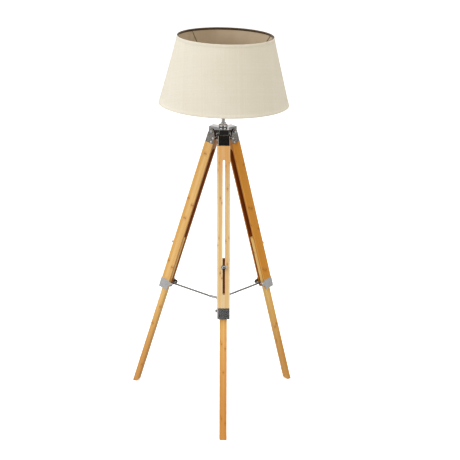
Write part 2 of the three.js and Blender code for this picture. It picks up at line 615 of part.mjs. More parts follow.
// ---------- assembly ----------
const lamp = new THREE.Group();
lamp.add(
  meshOf('head_bracket', headBracket(), chrome()),
  meshOf('socket_barrel', barrel(), chrome()),
  meshOf('neck_collar', neckCollar(), chrome()),
  meshOf('neck_screw', neckScrew(), chrome()),
  meshOf('neck_tube', neckTube(), chrome()),
  meshOf('lock_nut', lockNut(), satinSteel()),
  meshOf('cable_gland', cableGland(), blackPlastic()),
  meshOf('lampholder_base', holderBase(), blackPlastic()),
  meshOf('lampholder_shell', holderShell(), blackPlastic()),
  meshOf('lampholder_insert', holderInsert(), ceramic()),
  meshOf('centre_contact', centreContact(), satinSteel()),
  meshOf('shade_ring', shadeRing(), blackPlastic()),
  meshOf('shade_fabric', shadeSkin(), linen()),
  meshOf('shade_carrier', shadeCarrier(), wire()),
  meshOf('shade_bottom_ring', wireRing(bottomRingHeight).solid, wire()),
  meshOf('spreader_hub', spreaderHub(), chrome()));
LEG_NAMES.forEach((name, index) => lamp.add(leg(name, -index * 2 * Math.PI / 3)));

// The whole lamp is shifted so that the middle of its footprint's bounding box is the origin.
const footprint = new THREE.Box3().setFromObject(lamp, true);
const centred = new THREE.Group();
centred.position.y = -(footprint.min.y + footprint.max.y) / 2;
centred.add(lamp);

export default centred;
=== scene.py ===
import json
import math

import bmesh
import bpy
from mathutils import Matrix, Vector


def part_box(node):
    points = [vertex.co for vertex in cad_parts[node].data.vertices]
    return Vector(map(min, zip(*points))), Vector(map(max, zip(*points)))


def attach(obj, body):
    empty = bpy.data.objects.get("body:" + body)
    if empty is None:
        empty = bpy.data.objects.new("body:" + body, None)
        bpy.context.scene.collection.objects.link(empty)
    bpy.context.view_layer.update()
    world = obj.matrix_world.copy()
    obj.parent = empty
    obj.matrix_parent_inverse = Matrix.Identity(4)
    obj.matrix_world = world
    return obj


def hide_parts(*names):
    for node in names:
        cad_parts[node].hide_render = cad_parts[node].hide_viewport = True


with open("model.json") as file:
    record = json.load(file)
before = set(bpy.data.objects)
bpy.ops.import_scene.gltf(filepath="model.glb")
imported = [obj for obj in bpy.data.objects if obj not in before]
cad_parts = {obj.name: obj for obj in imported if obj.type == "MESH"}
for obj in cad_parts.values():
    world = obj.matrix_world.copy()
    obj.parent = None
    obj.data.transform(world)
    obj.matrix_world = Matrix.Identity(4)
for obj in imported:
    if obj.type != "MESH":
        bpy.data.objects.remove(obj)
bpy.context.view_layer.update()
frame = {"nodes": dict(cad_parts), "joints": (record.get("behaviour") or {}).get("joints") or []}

# The looks of a tripod floor lamp. Lengths are in millimetres unless a name ends in _M.
# Each leg has its own frame, read from its joints: x across it, y from its outer face to its
# inner face, z up along it. Pieces of a leg are drawn in that frame and then put in place.
M = 0.001
LEGS = ("front", "left", "right")

# ---------- driving dimensions ----------
LEG_TOP = {"radius": 43.7, "height": 995.4}          # origin of a leg's frame
UPPER = {"depth": 33.6, "channel": 13.0, "channel_arc": -35.0, "channel_floor": -7.0,
         "slot": 4.25, "slot_arc": -54.25}
LOWER = {"depth": 20.0, "inset": 3.5}
PIVOT = {"seat": 22.0, "shank": 3.0, "head": 5.6, "rise": 2.6, "nut": 5.2, "nut_height": 3.4}
RIVET = {"seat": 22.0, "shank": 2.0, "head": 3.6, "rise": 1.5}
CLAMP = {"inside": 20.8, "seat": 22.3, "shank": 2.0, "head": 4.6, "rise": 3.2,
         "nut": 4.4, "nut_height": 3.2}
SLIDE = {"along": -428.0, "radius": 3.0, "from": 28.1, "to": 6.5}
WASHER = {"radius": 9.0, "seat": 17.1, "thickness": 1.2}
WING = {"seat": 18.6, "hub": 6.0, "height": 7.0, "span": 12.5, "rise": 11.0, "tip": 3.7, "thick": 2.8,
        "turn": 28.0}
ROD = {"radius": 3.3, "eye": 4.8, "eye_width": 6.0, "hole": 2.25, "blade": 1.3, "tip": 2.75,
       "blade_length": 12.0, "pin_hole": 1.6, "pin_radius": 30.0, "hub_height": 405.0}
BARREL = {"bore": 6.55, "radius": 16.5}
COLLAR = {"foot": 7.9, "top": 7.5, "shoulder": 4.4, "screw_up": 2.7, "screw": 2.0, "head": 2.5}
TUBE = {"inner": 4.4, "outer": 6.2, "thread": 23.0}
LOCK_NUT = {"radius": 10.5, "hole": 6.5}
GLAND = {"bore": 3.2, "spout": 5.0, "collar": 7.6}
HOLDER = {"bottom": 1153.4, "shell_bottom": 1165.7, "flange": 1167.6, "top": 1198.0,
          "mouth": 14.2, "shell": 18.6, "flange_radius": 21.5, "contact": 1174.7}
SHADE_RING = {"inner": 19.0, "outer": 21.8, "bottom": 1171.2, "height": 8.0, "ribs": 12}
SHADE = {"bottom_radius": 230.0, "top_radius": 168.7, "bottom": 1139.0, "top": 1378.5,
         "skin": 1.2, "hem": 11.0, "hem_rise": 0.35}
WIRE = {"radius": 2.0, "top_inset": 2.6, "bottom_inset": 3.4}
STRUT = {"radius": 1.3, "first": 131.7, "hub_outer": 26.0, "hub_inner": 19.2, "height": 1170.1}

TURNED = 96                  # sides of a turned piece
FINE = 36                    # sides of a small turned piece
SHADE_SIDES = 288

CAMERA = {"place_M": (-0.4153, -4.5500, 2.2065), "forward": (0.0924, 0.9445, -0.3151),
          "roll": 1.7594, "lens": 105.09, "sensor": 36.0}


def joint(name):
    return next(entry for entry in frame["joints"] if entry["name"] == name)


def lamp_axis():
    low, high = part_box("neck_tube")
    return Vector(((low.x + high.x) / 2, (low.y + high.y) / 2, 0))


AXIS = lamp_axis()
TO_HEAD = Matrix.Translation(AXIS) @ Matrix.Scale(M, 4)


def axes_matrix(origin, *axes):
    """Takes millimetres along three axes to the row frame."""
    return Matrix.Translation(origin) @ Matrix(axes).transposed().to_4x4() @ Matrix.Scale(M, 4)


def leg_matrix(leg):
    """Takes a leg's own frame, in millimetres, to the row frame."""
    across = Vector(joint(leg + "_fold")["axis"])
    up = -Vector(joint(leg + "_extend")["axis"])
    inward = up.cross(across)
    outward = Vector((-up.x, -up.y, 0)).normalized()
    origin = AXIS + outward * LEG_TOP["radius"] * M + Vector((0, 0, LEG_TOP["height"] * M))
    return axes_matrix(origin, across, inward, up)


TO_ROW = {leg: leg_matrix(leg) for leg in LEGS}


def in_leg(leg, point):
    """A row-frame point in metres, in the leg's own frame."""
    return TO_ROW[leg].inverted() @ Vector(point)


# ---------- node graphs ----------
def srgb(red, green, blue):
    """A colour given as 0 to 255 screen values, as the linear colour that nodes take."""
    return tuple((value / 255) ** 2.2 for value in (red, green, blue)) + (1.0,)


class Graph:
    """Adds nodes to a tree. A value that is a socket is linked, and any other value is set."""

    def __init__(self, tree):
        self.tree = tree

    def put(self, target, value):
        if isinstance(value, bpy.types.NodeSocket):
            self.tree.links.new(value, target)
        else:
            target.default_value = value

    def node(self, kind, inputs=None, **settings):
        made = self.tree.nodes.new("ShaderNode" + kind)
        for key, value in settings.items():
            setattr(made, key, value)
        for key, value in (inputs or {}).items():
            self.put(made.inputs[key], value)
        return made

    def math(self, operation, *values):
        return self.node("Math", dict(enumerate(values)), operation=operation).outputs[0]

    def plus(self, first, second):
        return self.math("ADD", first, second)

    def minus(self, first, second):
        return self.math("SUBTRACT", first, second)

    def times(self, first, second):
        return self.math("MULTIPLY", first, second)

    def mix(self, factor, first, second):
        return self.node("Mix", {0: factor, 6: first, 7: second}, data_type="RGBA").outputs[2]

    def step(self, value, low, high, out_low=0.0, out_high=1.0):
        """Goes smoothly from out_low to out_high as value goes from low to high."""
        values = {"Value": value, "From Min": low, "From Max": high, "To Min": out_low, "To Max": out_high}
        return self.node("MapRange", values, interpolation_type="SMOOTHSTEP").outputs[0]

    def noise(self, vector, scale=1.0, detail=2.0):
        return self.node("TexNoise", {"Vector": vector, "Scale": scale, "Detail": detail}).outputs["Fac"]

    def scaled(self, vector, scale):
        return self.node("VectorMath", {0: vector, 1: scale}, operation="MULTIPLY").outputs[0]

    def ramp(self, factor, stops):
        made = self.node("ValToRGB", {"Fac": factor})
        band = made.color_ramp
        while len(band.elements) < len(stops):
            band.elements.new(0.5)
        for element, (place, color) in zip(band.elements, stops):
            element.position = place
            element.color = color
        return made.outputs["Color"]

    def bump(self, height, depth):
        return self.node("Bump", {"Height": height, "Distance": depth, "Strength": 1.0}).outputs[0]


def new_material(name, **values):
    """A material, its graph and its shader. Values that are the same all over are set on the shader."""
    material = bpy.data.materials.new(name)
    material.use_nodes = True
    shader = material.node_tree.nodes["Principled BSDF"]
    for key, value in values.items():
        shader.inputs[key.replace("_", " ")].default_value = value
    return material, Graph(material.node_tree), shader


# ---------- materials ----------
# Each leg and part has its own tones, with painted light and shade in them: the three legs are one wood,
# lit differently.
BAMBOO_LIT_TONES = {
    "front_upper": (srgb(255, 224, 160), srgb(255, 240, 190)),
    "left_upper": (srgb(240, 188, 108), srgb(252, 208, 136)),
    "right_upper": (srgb(242, 168, 62), srgb(252, 184, 84)),
    "front_lower": (srgb(230, 176, 98), srgb(240, 194, 120)),
    "left_lower": (srgb(246, 202, 122), srgb(254, 218, 148)),
    "right_lower": (srgb(248, 202, 112), srgb(254, 216, 138)),
}
# Painted shade: the lower legs darken towards the foot.
BAMBOO_FOOT_SHADE = srgb(190, 110, 30)
# Painted shade on the inner face of an upper leg, the face towards the lamp's axis.
BAMBOO_INNER_FACE_SHADE = srgb(152, 76, 24)
# Painted shade on the tenon in the bracket.
BAMBOO_TENON_SHADE = srgb(58, 34, 20)
BAMBOO_DARK = srgb(160, 94, 36)
# Painted shade in the channel and the slot, and on the lower leg where it shows through the slot.
BAMBOO_RECESS_SHADE = srgb(142, 60, 16)
# How much warmer and darker each leg is painted above its slot: painted shade under the head, set for each
# leg by how light falls on it.
TOP_SHADE_WARMTH = {"front": 0.42, "left": 0.0, "right": 0.1}


def bamboo(leg, part):
    """Laminated bamboo under clear satin lacquer: long strips with node marks, drawn in the leg's frame."""
    material, graph, shader = new_material(f"bamboo_{leg}_{part}", Coat_Weight=0.08, Coat_Roughness=0.25,
                                           Specular_IOR_Level=0.28)
    place = TO_ROW[leg]
    coords = graph.node("Mapping", {
        "Vector": graph.node("TexCoord").outputs["Object"],
        "Location": place.to_translation(), "Rotation": place.to_euler(), "Scale": (M, M, M)},
        vector_type="TEXTURE").outputs[0]
    axes = graph.node("SeparateXYZ", {0: coords}).outputs
    across, depth, along = axes[0], axes[1], axes[2]
    strip_width, ply = 6.3, 11.2
    strip_across = graph.math("DIVIDE", graph.plus(across, 3.1), strip_width)
    strip_depth = graph.math("DIVIDE", graph.plus(depth, 16.8), ply)
    seed = LEGS.index(leg) * 7.0 + (3.0 if part == "upper" else 5.0)
    strip = graph.node("CombineXYZ", {
        0: graph.math("FLOOR", strip_across), 1: graph.math("FLOOR", strip_depth), 2: seed}).outputs[0]
    chance = graph.node("TexWhiteNoise", {"Vector": strip}, noise_dimensions="3D").outputs["Value"]

    # Long fibres, and a broad cloudiness that is drawn out along the leg.
    shifted = graph.node("VectorMath", {0: coords, 1: graph.scaled(strip, (31.0, 17.0, 5.0))},
                         operation="ADD").outputs[0]
    fibres = graph.noise(graph.scaled(shifted, (2.6, 2.6, 0.012)), 1.0, 5.0)
    pores = graph.noise(graph.scaled(shifted, (6.5, 6.5, 0.05)), 1.0, 2.0)
    cloud = graph.noise(graph.scaled(shifted, (0.11, 0.11, 0.006)), 1.0, 3.0)
    # This leg's tones, with painted light and shade in them.
    light, lighter = BAMBOO_LIT_TONES[f"{leg}_{part}"]
    tone = graph.mix(graph.step(chance, 0.1, 0.9), light, lighter)
    tone = graph.mix(graph.step(cloud, 0.35, 0.7, 0.0, 0.22), tone, srgb(206, 142, 62))
    tone = graph.mix(graph.step(fibres, 0.46, 0.72, 0.0, 0.2), tone, BAMBOO_DARK)
    tone = graph.mix(graph.step(pores, 0.6, 0.76, 0.0, 0.2), tone, BAMBOO_DARK)

    # The culm's nodes: a thin dark line and a warm stain round it, at a different height on each strip.
    spacing = 265.0
    turns = graph.plus(graph.math("DIVIDE", along, spacing), graph.times(chance, 7.3))
    off = graph.minus(graph.math("FRACT", turns), 0.5)
    away = graph.times(graph.math("ABSOLUTE", off), spacing)
    ragged = graph.plus(away, graph.times(graph.minus(fibres, 0.5), 9.0))
    stain = graph.step(ragged, 15.0, 0.0, 0.0, 0.38)
    line = graph.step(ragged, 2.4, 0.4, 0.0, 0.55)
    tone = graph.mix(stain, tone, srgb(186, 108, 40))
    tone = graph.mix(line, tone, srgb(120, 60, 20))

    # Glue lines between the strips.
    def to_edge(value):
        return graph.math("ABSOLUTE", graph.minus(graph.math("FRACT", value), 0.5))
    joint_line = graph.math("MAXIMUM", graph.step(to_edge(strip_across), 0.475, 0.5),
                            graph.step(to_edge(strip_depth), 0.488, 0.5))
    tone = graph.mix(graph.times(joint_line, 0.35), tone, BAMBOO_DARK)

    if part == "upper":
        # Painted shade on the walls of the channel and the slot.
        tone = graph.mix(recess_shade_mask(graph, across, depth, along), tone, BAMBOO_RECESS_SHADE)
        # Painted shade on the inner face.
        tone = graph.mix(graph.step(depth, 16.2, 16.7, 0.0, 0.3), tone, BAMBOO_INNER_FACE_SHADE)
        # Painted shade near the top of the leg, under the head and the lampshade.
        tone = graph.mix(graph.step(along, -150.0, -40.0, 0.0, TOP_SHADE_WARMTH[leg]), tone, srgb(232, 148, 44))
        # The tenon in the bracket is darkened with painted shade, for the shade in the gap under the cap.
        tone = graph.mix(graph.step(along, 17.0, 20.0, 0.0, 0.92), tone, BAMBOO_TENON_SHADE)
    else:
        # Painted shade, darker towards the foot.
        tone = graph.mix(graph.step(along, -480.0, -980.0, 0.0, 0.6), tone, BAMBOO_FOOT_SHADE)
        # The face that shows through the slot is darkened with painted shade, for the shade deep in the
        # slot.
        in_slot = graph.times(graph.step(along, -521.0, -519.0),
                              graph.step(graph.math("ABSOLUTE", across), 6.5, 5.5))
        outer = graph.step(depth, LOWER["inset"] - LOWER["depth"] / 2 + 1.0,
                           LOWER["inset"] - LOWER["depth"] / 2 + 0.5)
        tone = graph.mix(graph.times(graph.times(in_slot, outer), 0.95),
                         tone, BAMBOO_RECESS_SHADE)
    graph.put(shader.inputs["Base Color"], tone)
    graph.put(shader.inputs["Roughness"], graph.step(fibres, 0.3, 0.8, 0.34, 0.52))
    relief = graph.minus(graph.times(fibres, 0.5), graph.times(joint_line, 0.6))
    relief = graph.plus(relief, graph.times(line, -0.5))
    graph.put(shader.inputs["Normal"], graph.bump(relief, 0.00012))
    return material


def recess_shade_mask(graph, across, depth, along):
    """1 on the walls of the channel and the slot: painted shade in these recesses."""
    def within(arc, radius):
        over = graph.math("MAXIMUM", graph.minus(along, arc), 0.0)
        length = graph.math("POWER", graph.plus(graph.times(over, over),
                                                graph.times(across, across)), 0.5)
        return graph.step(length, radius + 0.35, radius + 0.2)
    channel = graph.times(within(UPPER["channel_arc"], UPPER["channel"]),
                          graph.step(depth, UPPER["channel_floor"] - 0.4, UPPER["channel_floor"] - 0.2))
    slot = graph.times(within(UPPER["slot_arc"], UPPER["slot"]),
                       graph.step(depth, -UPPER["depth"] / 2 + 0.9, -UPPER["depth"] / 2 + 1.4))
    return graph.times(graph.math("MAXIMUM", channel, slot), 0.88)


DULL_PATCH = (0.34, 0.31, 0.27, 1.0)       # what is left of a metal's colour in its dullest patches


def plated(name, color, rough, spread, scratches, mottle=0.0, metallic=1.0):
    """Plated metal: handling marks and fine lines change its gloss. `mottle` is how strongly the plating
    of rolled sheet is clouded by patches a few millimetres across."""
    material, graph, shader = new_material(name, Metallic=metallic)
    coords = graph.node("TexCoord").outputs["Object"]
    smudges = graph.noise(coords, 38.0, 4.0)
    grain = graph.noise(coords, 2600.0, 3.0)
    lines = graph.noise(graph.scaled(coords, (1.0, 1.0, 0.08)), 1900.0, 2.0)
    shade = tuple(channel * 0.86 for channel in color[:3]) + (1.0,)
    tone = graph.mix(graph.step(smudges, 0.3, 0.75), color, shade)
    if mottle:
        patches = graph.step(graph.noise(coords, 300.0, 3.0), 0.38, 0.62, 0.0, mottle)
        dull = tuple(channel * dim for channel, dim in zip(color, DULL_PATCH))
        tone = graph.mix(patches, tone, dull)
    graph.put(shader.inputs["Base Color"], tone)
    gloss = graph.plus(graph.step(smudges, 0.3, 0.8, rough, rough + spread),
                       graph.times(graph.minus(lines, 0.5), spread))
    graph.put(shader.inputs["Roughness"], gloss)
    relief = graph.plus(graph.times(grain, 0.5), lines)
    graph.put(shader.inputs["Normal"], graph.bump(relief, scratches))
    return material


def linen():
    """Plain woven linen. The UVs are metres on the flat cut, so the threads run as in the real cloth."""
    material, graph, shader = new_material(
        "linen_cloth", Roughness=0.92, Sheen_Weight=0.12, Sheen_Roughness=0.6)
    flat = graph.node("UVMap", uv_map="flat").outputs[0]
    wander = graph.minus(graph.noise(flat, 42.0, 2.0), 0.5)
    axes = graph.node("SeparateXYZ", {0: flat}).outputs
    pitch = 0.00085
    warp = graph.plus(graph.math("DIVIDE", axes[0], pitch), graph.times(wander, 1.3))
    weft = graph.plus(graph.math("DIVIDE", axes[1], pitch), graph.times(wander, -1.1))

    def thread(value):
        return graph.math("ABSOLUTE", graph.math("SINE", graph.times(value, math.pi)))

    def chance(value, seed):
        place = graph.node("CombineXYZ", {0: graph.math("FLOOR", value), 1: seed}).outputs[0]
        return graph.node("TexWhiteNoise", {"Vector": place}, noise_dimensions="2D").outputs["Value"]

    parity = graph.plus(graph.math("FLOOR", warp), graph.math("FLOOR", weft))
    over = graph.math("MODULO", graph.math("ABSOLUTE", parity), 2.0)
    height = graph.node("Mix", {0: over, 2: thread(warp), 3: thread(weft)}, data_type="FLOAT").outputs[0]
    # Slubs: stretches where a thread is thicker, long across it and a thread or two wide.
    slub_warp = graph.step(graph.noise(graph.scaled(flat, (900.0, 34.0, 1.0)), 1.0, 2.0), 0.62, 0.8)
    slub_weft = graph.step(graph.noise(graph.scaled(flat, (30.0, 900.0, 1.0)), 1.0, 2.0), 0.6, 0.8)
    slub = graph.math("MAXIMUM", slub_warp, slub_weft)
    tone = graph.mix(graph.times(chance(warp, 2.0), 0.55), srgb(227, 221, 206), srgb(215, 207, 189))
    tone = graph.mix(graph.times(chance(weft, 9.0), 0.35), tone, srgb(212, 202, 179))
    tone = graph.mix(graph.times(slub, 0.22), tone, srgb(194, 180, 150))
    ageing = graph.step(graph.noise(flat, 9.0, 3.0), 0.35, 0.75, 0.0, 0.12)
    tone = graph.mix(ageing, tone, srgb(208, 196, 168))
    # Painted shade in the gaps between the threads.
    gap_shade = graph.step(height, 0.42, 0.0, 0.0, 0.42)
    tone = graph.mix(gap_shade, tone, srgb(172, 156, 126))
    graph.put(shader.inputs["Base Color"], tone)
    relief = graph.plus(height, graph.times(slub, 0.8))
    graph.put(shader.inputs["Normal"], graph.bump(relief, 0.00022))
    return material


def lining():
    """The stiff backing behind the cloth, warm beige, with the weave pressed faintly through it."""
    material, graph, shader = new_material("shade_backing", Roughness=0.62)
    flat = graph.node("UVMap", uv_map="flat").outputs[0]
    fine = graph.noise(graph.scaled(flat, (1500.0, 500.0, 1.0)), 1.0, 2.0)
    cloud = graph.noise(flat, 14.0, 3.0)
    tone = graph.mix(graph.step(cloud, 0.3, 0.7), srgb(205, 187, 160), srgb(197, 177, 149))
    tone = graph.mix(graph.step(fine, 0.4, 0.75, 0.0, 0.28), tone, srgb(182, 160, 131))
    graph.put(shader.inputs["Base Color"], tone)
    graph.put(shader.inputs["Normal"], graph.bump(fine, 0.0001))
    return material


def moulded(name, color, rough, mottle):
    """Moulded plastic or glazed ceramic, with a slight orange-peel surface."""
    material, graph, shader = new_material(name)
    coords = graph.node("TexCoord").outputs["Object"]
    cloud = graph.noise(coords, 90.0, 3.0)
    peel = graph.noise(coords, 1400.0, 2.0)
    graph.put(shader.inputs["Base Color"], graph.mix(graph.step(cloud, 0.3, 0.7), color, mottle))
    graph.put(shader.inputs["Roughness"], graph.step(cloud, 0.25, 0.75, rough, rough + 0.12))
    graph.put(shader.inputs["Normal"], graph.bump(peel, 0.00006))
    return material


def bronze_paint():
    """Dull bronze paint on wire, worn through to steel in small spots."""
    material, graph, shader = new_material("bronze_paint", Metallic=0.35)
    coords = graph.node("TexCoord").outputs["Object"]
    flow = graph.noise(coords, 160.0, 4.0)
    chips = graph.step(graph.noise(coords, 420.0, 3.0), 0.68, 0.74)
    tone = graph.mix(graph.step(flow, 0.3, 0.7), srgb(92, 74, 52), srgb(70, 55, 38))
    graph.put(shader.inputs["Base Color"], graph.mix(chips, tone, srgb(140, 130, 116)))
    graph.put(shader.inputs["Roughness"], graph.step(flow, 0.3, 0.7, 0.42, 0.6))
    graph.put(shader.inputs["Normal"], graph.bump(flow, 0.0001))
    return material


LOOKS = {
    "chrome": plated("polished_chrome", (0.86, 0.865, 0.875, 1.0), 0.04, 0.04, 0.0000012),
    "tube_chrome": plated("brushed_chrome", (0.96, 0.955, 0.93, 1.0), 0.5, 0.08, 0.000003),
    "bracket_chrome": plated("chromed_plate", (0.60, 0.59, 0.57, 1.0), 0.05, 0.06, 0.000002, mottle=0.15),
    "sheet_chrome": plated("chromed_sheet", (0.58, 0.55, 0.49, 1.0), 0.055, 0.06, 0.000002, mottle=0.75),
    "bright_nickel": plated("bright_nickel", (0.97, 0.965, 0.95, 1.0), 0.30, 0.08, 0.000004, metallic=0.55),
    "satin": plated("satin_nickel", (0.80, 0.79, 0.77, 1.0), 0.22, 0.10, 0.000008),
    "clamp_steel": plated("rolled_steel", (0.93, 0.925, 0.90, 1.0), 0.20, 0.08, 0.000006, mottle=0.14),
    "rod_steel": plated("drawn_steel", (0.24, 0.235, 0.22, 1.0), 0.30, 0.12, 0.000008),
    # Painted shade: a near-black steel for the inner faces of the clamp ears.
    "ear_shade_steel": plated("painted_ear_shade", (0.14, 0.12, 0.10, 1.0), 0.38, 0.12, 0.00001),
    "zinc": plated("zinc_steel", (0.66, 0.67, 0.68, 1.0), 0.30, 0.12, 0.00001),
    "brass": plated("contact_brass", (0.78, 0.60, 0.30, 1.0), 0.25, 0.12, 0.000008),
    "bakelite": moulded("black_moulding", srgb(26, 26, 27), 0.34, srgb(34, 33, 33)),
    "ceramic": moulded("white_ceramic", srgb(236, 232, 224), 0.18, srgb(226, 220, 208)),
    "bronze": bronze_paint(),
    "linen": linen(),
    "lining": lining(),
}
for leg_name in LEGS:
    for part_name in ("upper", "lower"):
        LOOKS[f"bamboo_{leg_name}_{part_name}"] = bamboo(leg_name, part_name)


# ---------- mesh making ----------
def finish_mesh(bm, name, sharp=38.0):
    """A mesh from bm, smooth except at edges that turn by more than `sharp` degrees."""
    bmesh.ops.recalc_face_normals(bm, faces=bm.faces)
    for face in bm.faces:
        face.smooth = True
    for edge in bm.edges:
        edge.smooth = not edge.is_manifold or edge.calc_face_angle() < math.radians(sharp)
    mesh = bpy.data.meshes.new(name)
    bm.to_mesh(mesh)
    bm.free()
    return mesh


def piece(name, mesh, look, body, replaces=()):
    """Shows a mesh as one piece of the lamp."""
    shown = bpy.data.objects.new(name, mesh)
    bpy.context.scene.collection.objects.link(shown)
    mesh.materials.append(LOOKS[look])
    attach(shown, body)
    if replaces:
        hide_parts(*replaces)
    return shown


def weigh_normals(shown):
    """Keeps large flat faces flat beside their rounded edges."""
    weighted = shown.modifiers.new("normals", "WEIGHTED_NORMAL")
    weighted.keep_sharp = True
    return shown


def fillet(points, radius, closed=False, steps=3):
    """An outline with its corners rounded, by a short curve that starts `radius` before each corner."""
    count = len(points)
    made = []
    for index, point in enumerate(points):
        corner = Vector(point)
        if not closed and index in (0, count - 1):
            made.append(tuple(corner))
            continue
        before = Vector(points[index - 1]) - corner
        after = Vector(points[(index + 1) % count]) - corner
        reach = min(radius, before.length * 0.45, after.length * 0.45)
        start = corner + before.normalized() * reach
        end = corner + after.normalized() * reach
        for step in range(steps + 1):
            t = step / steps
            made.append(tuple(start * (1 - t) ** 2 + corner * 2 * t * (1 - t) + end * t * t))
    return made


def lathe(points, sides=TURNED, closed=False):
    """A turned solid about z from (radius, z) points. An open outline starts and ends on the axis."""
    bm = bmesh.new()
    rings = []
    for radius, height in points:
        if radius < 1e-6:
            rings.append([bm.verts.new((0, 0, height))])
            continue
        rings.append([bm.verts.new((radius * math.cos(turn), radius * math.sin(turn), height))
                      for turn in (2 * math.pi * side / sides for side in range(sides))])
    pairs = list(zip(rings, rings[1:])) + ([(rings[-1], rings[0])] if closed else [])
    for first, second in pairs:
        for side in range(sides):
            after = (side + 1) % sides
            corners = [first[side % len(first)], first[after % len(first)],
                       second[after % len(second)], second[side % len(second)]]
            bm.faces.new(list(dict.fromkeys(corners)))
    return bm


def ring_lathe(points, radius=0.3, sides=TURNED):
    return lathe(fillet(points, radius, closed=True), sides, closed=True)


def box_section(inner, outer, low, high):
    """The outline of a plain ring: a rectangle from inner to outer radius and from low to high."""
    return [(inner, low), (outer, low), (outer, high), (inner, high)]


def solid_lathe(points, radius=0.3, sides=FINE):
    return lathe(fillet(points, radius), sides)


def prism(outline, height):
    """A solid from an x-y outline, pulled up along z from 0."""
    bm = bmesh.new()
    low = [bm.verts.new((x, y, 0)) for x, y in outline]
    high = [bm.verts.new((x, y, height)) for x, y in outline]
    bm.faces.new(low[::-1])
    bm.faces.new(high)
    for index in range(len(outline)):
        after = (index + 1) % len(outline)
        bm.faces.new((low[index], low[after], high[after], high[index]))
    return bm


def loft(sections, cap=True):
    """A skin through rings of points that all have the same count."""
    bm = bmesh.new()
    rings = [[bm.verts.new(point) for point in section] for section in sections]
    count = len(rings[0])
    for first, second in zip(rings, rings[1:]):
        for index in range(count):
            after = (index + 1) % count
            bm.faces.new((first[index], first[after], second[after], second[index]))
    if cap:
        bm.faces.new(rings[0][::-1])
        bm.faces.new(rings[-1])
    return bm


def sweep(path, radius, sides=16, closed=False):
    """A round tube along a list of points."""
    count = len(path)
    sections = []
    side = Vector((0, 0, 1))
    for index, point in enumerate(path):
        ahead = path[(index + 1) % count] if closed or index < count - 1 else point
        behind = path[index - 1] if closed or index > 0 else point
        tangent = (Vector(ahead) - Vector(behind)).normalized()
        side = (side - tangent * side.dot(tangent)).normalized()
        other = tangent.cross(side)
        sections.append([Vector(point) + (side * math.cos(turn) + other * math.sin(turn)) * radius
                         for turn in (2 * math.pi * step / sides for step in range(sides))])
    if closed:
        sections.append(sections[0])
    bm = loft(sections, cap=not closed)
    bmesh.ops.remove_doubles(bm, verts=bm.verts, dist=1e-4)
    return bm


def merge(*parts):
    """Puts several solids into the first one."""
    whole = parts[0]
    for part in parts[1:]:
        mesh = bpy.data.meshes.new("part")
        part.to_mesh(mesh)
        part.free()
        whole.from_mesh(mesh)
        bpy.data.meshes.remove(mesh)
    return whole


def combine(target, tool, operation):
    """A boolean of two solids, as a new one."""
    objects = []
    for bm in (target, tool):
        bmesh.ops.recalc_face_normals(bm, faces=bm.faces)
        mesh = bpy.data.meshes.new("boolean")
        bm.to_mesh(mesh)
        bm.free()
        made = bpy.data.objects.new("boolean", mesh)
        bpy.context.scene.collection.objects.link(made)
        objects.append(made)
    change = objects[0].modifiers.new("boolean", "BOOLEAN")
    change.operation = operation
    change.object = objects[1]
    change.solver = "EXACT"
    graph = bpy.context.evaluated_depsgraph_get()
    result = bmesh.new()
    result.from_mesh(objects[0].evaluated_get(graph).to_mesh())
    for made in objects:
        mesh = made.data
        bpy.data.objects.remove(made)
        bpy.data.meshes.remove(mesh)
    bmesh.ops.remove_doubles(result, verts=result.verts, dist=1e-4)
    return result


def placed(bm, *matrices):
    """The solid moved by the matrices, the last one first."""
    whole = Matrix.Identity(4)
    for matrix in matrices:
        whole = whole @ matrix
    bmesh.ops.transform(bm, matrix=whole, verts=bm.verts)
    return bm


# ---------- carried-over pieces with finer edges ----------
def flat_faces(node):
    """The node's solid in metres, with its triangles joined into flat faces."""
    bm = bmesh.new()
    bm.from_mesh(frame["nodes"][node].data)
    bmesh.ops.remove_doubles(bm, verts=bm.verts, dist=2e-6)
    bmesh.ops.dissolve_limit(bm, angle_limit=math.radians(0.6), verts=bm.verts, edges=bm.edges)
    return bm


def soften(bm, edges, width, segments):
    if edges:
        bmesh.ops.bevel(bm, geom=edges, offset=width * M, offset_type="OFFSET", segments=segments,
                        profile=0.5, affect="EDGES", clamp_overlap=True)


def sharp_edges(bm, angle=42.0):
    return [edge for edge in bm.edges
            if edge.is_manifold and edge.calc_face_angle() > math.radians(angle)]


def refined(name, node, look, body, edge=0.35, bend=0.0, bend_face=0.0):
    """The node again with softened edges. Convex edges between two faces over bend_face square
    millimetres are bends of the sheet, and get the larger radius `bend`."""
    bm = flat_faces(node)
    if bend:
        least = bend_face * M * M
        bends = [found for found in sharp_edges(bm) if found.is_convex
                 and min(face.calc_area() for face in found.link_faces) > least]
        soften(bm, bends, bend, 4)
    soften(bm, sharp_edges(bm), edge, 2)
    return weigh_normals(piece(name, finish_mesh(bm, name, 50.0), look, body, (node,)))


# ---------- fasteners ----------
TURN_X = Matrix.Rotation(math.radians(90), 4, "Y")          # z to +x


def pan_head(radius, height):
    """A domed screw head on z = 0 with a cross recess."""
    dome = solid_lathe([(0, -0.3), (radius * 0.7, -0.3), (radius, 0.0), (radius, height * 0.35),
                        (radius * 0.72, height * 0.86), (radius * 0.3, height), (0, height)], radius * 0.22)
    reach, half = radius * 0.52, radius * 0.11
    outline = [(half, -reach), (half, -half), (reach, -half), (reach, half), (half, half), (half, reach)]
    outline += [(-x, -y) for x, y in outline]
    recess = placed(prism(outline, height), Matrix.Translation((0, 0, height * 0.45)))
    return combine(dome, recess, "DIFFERENCE")


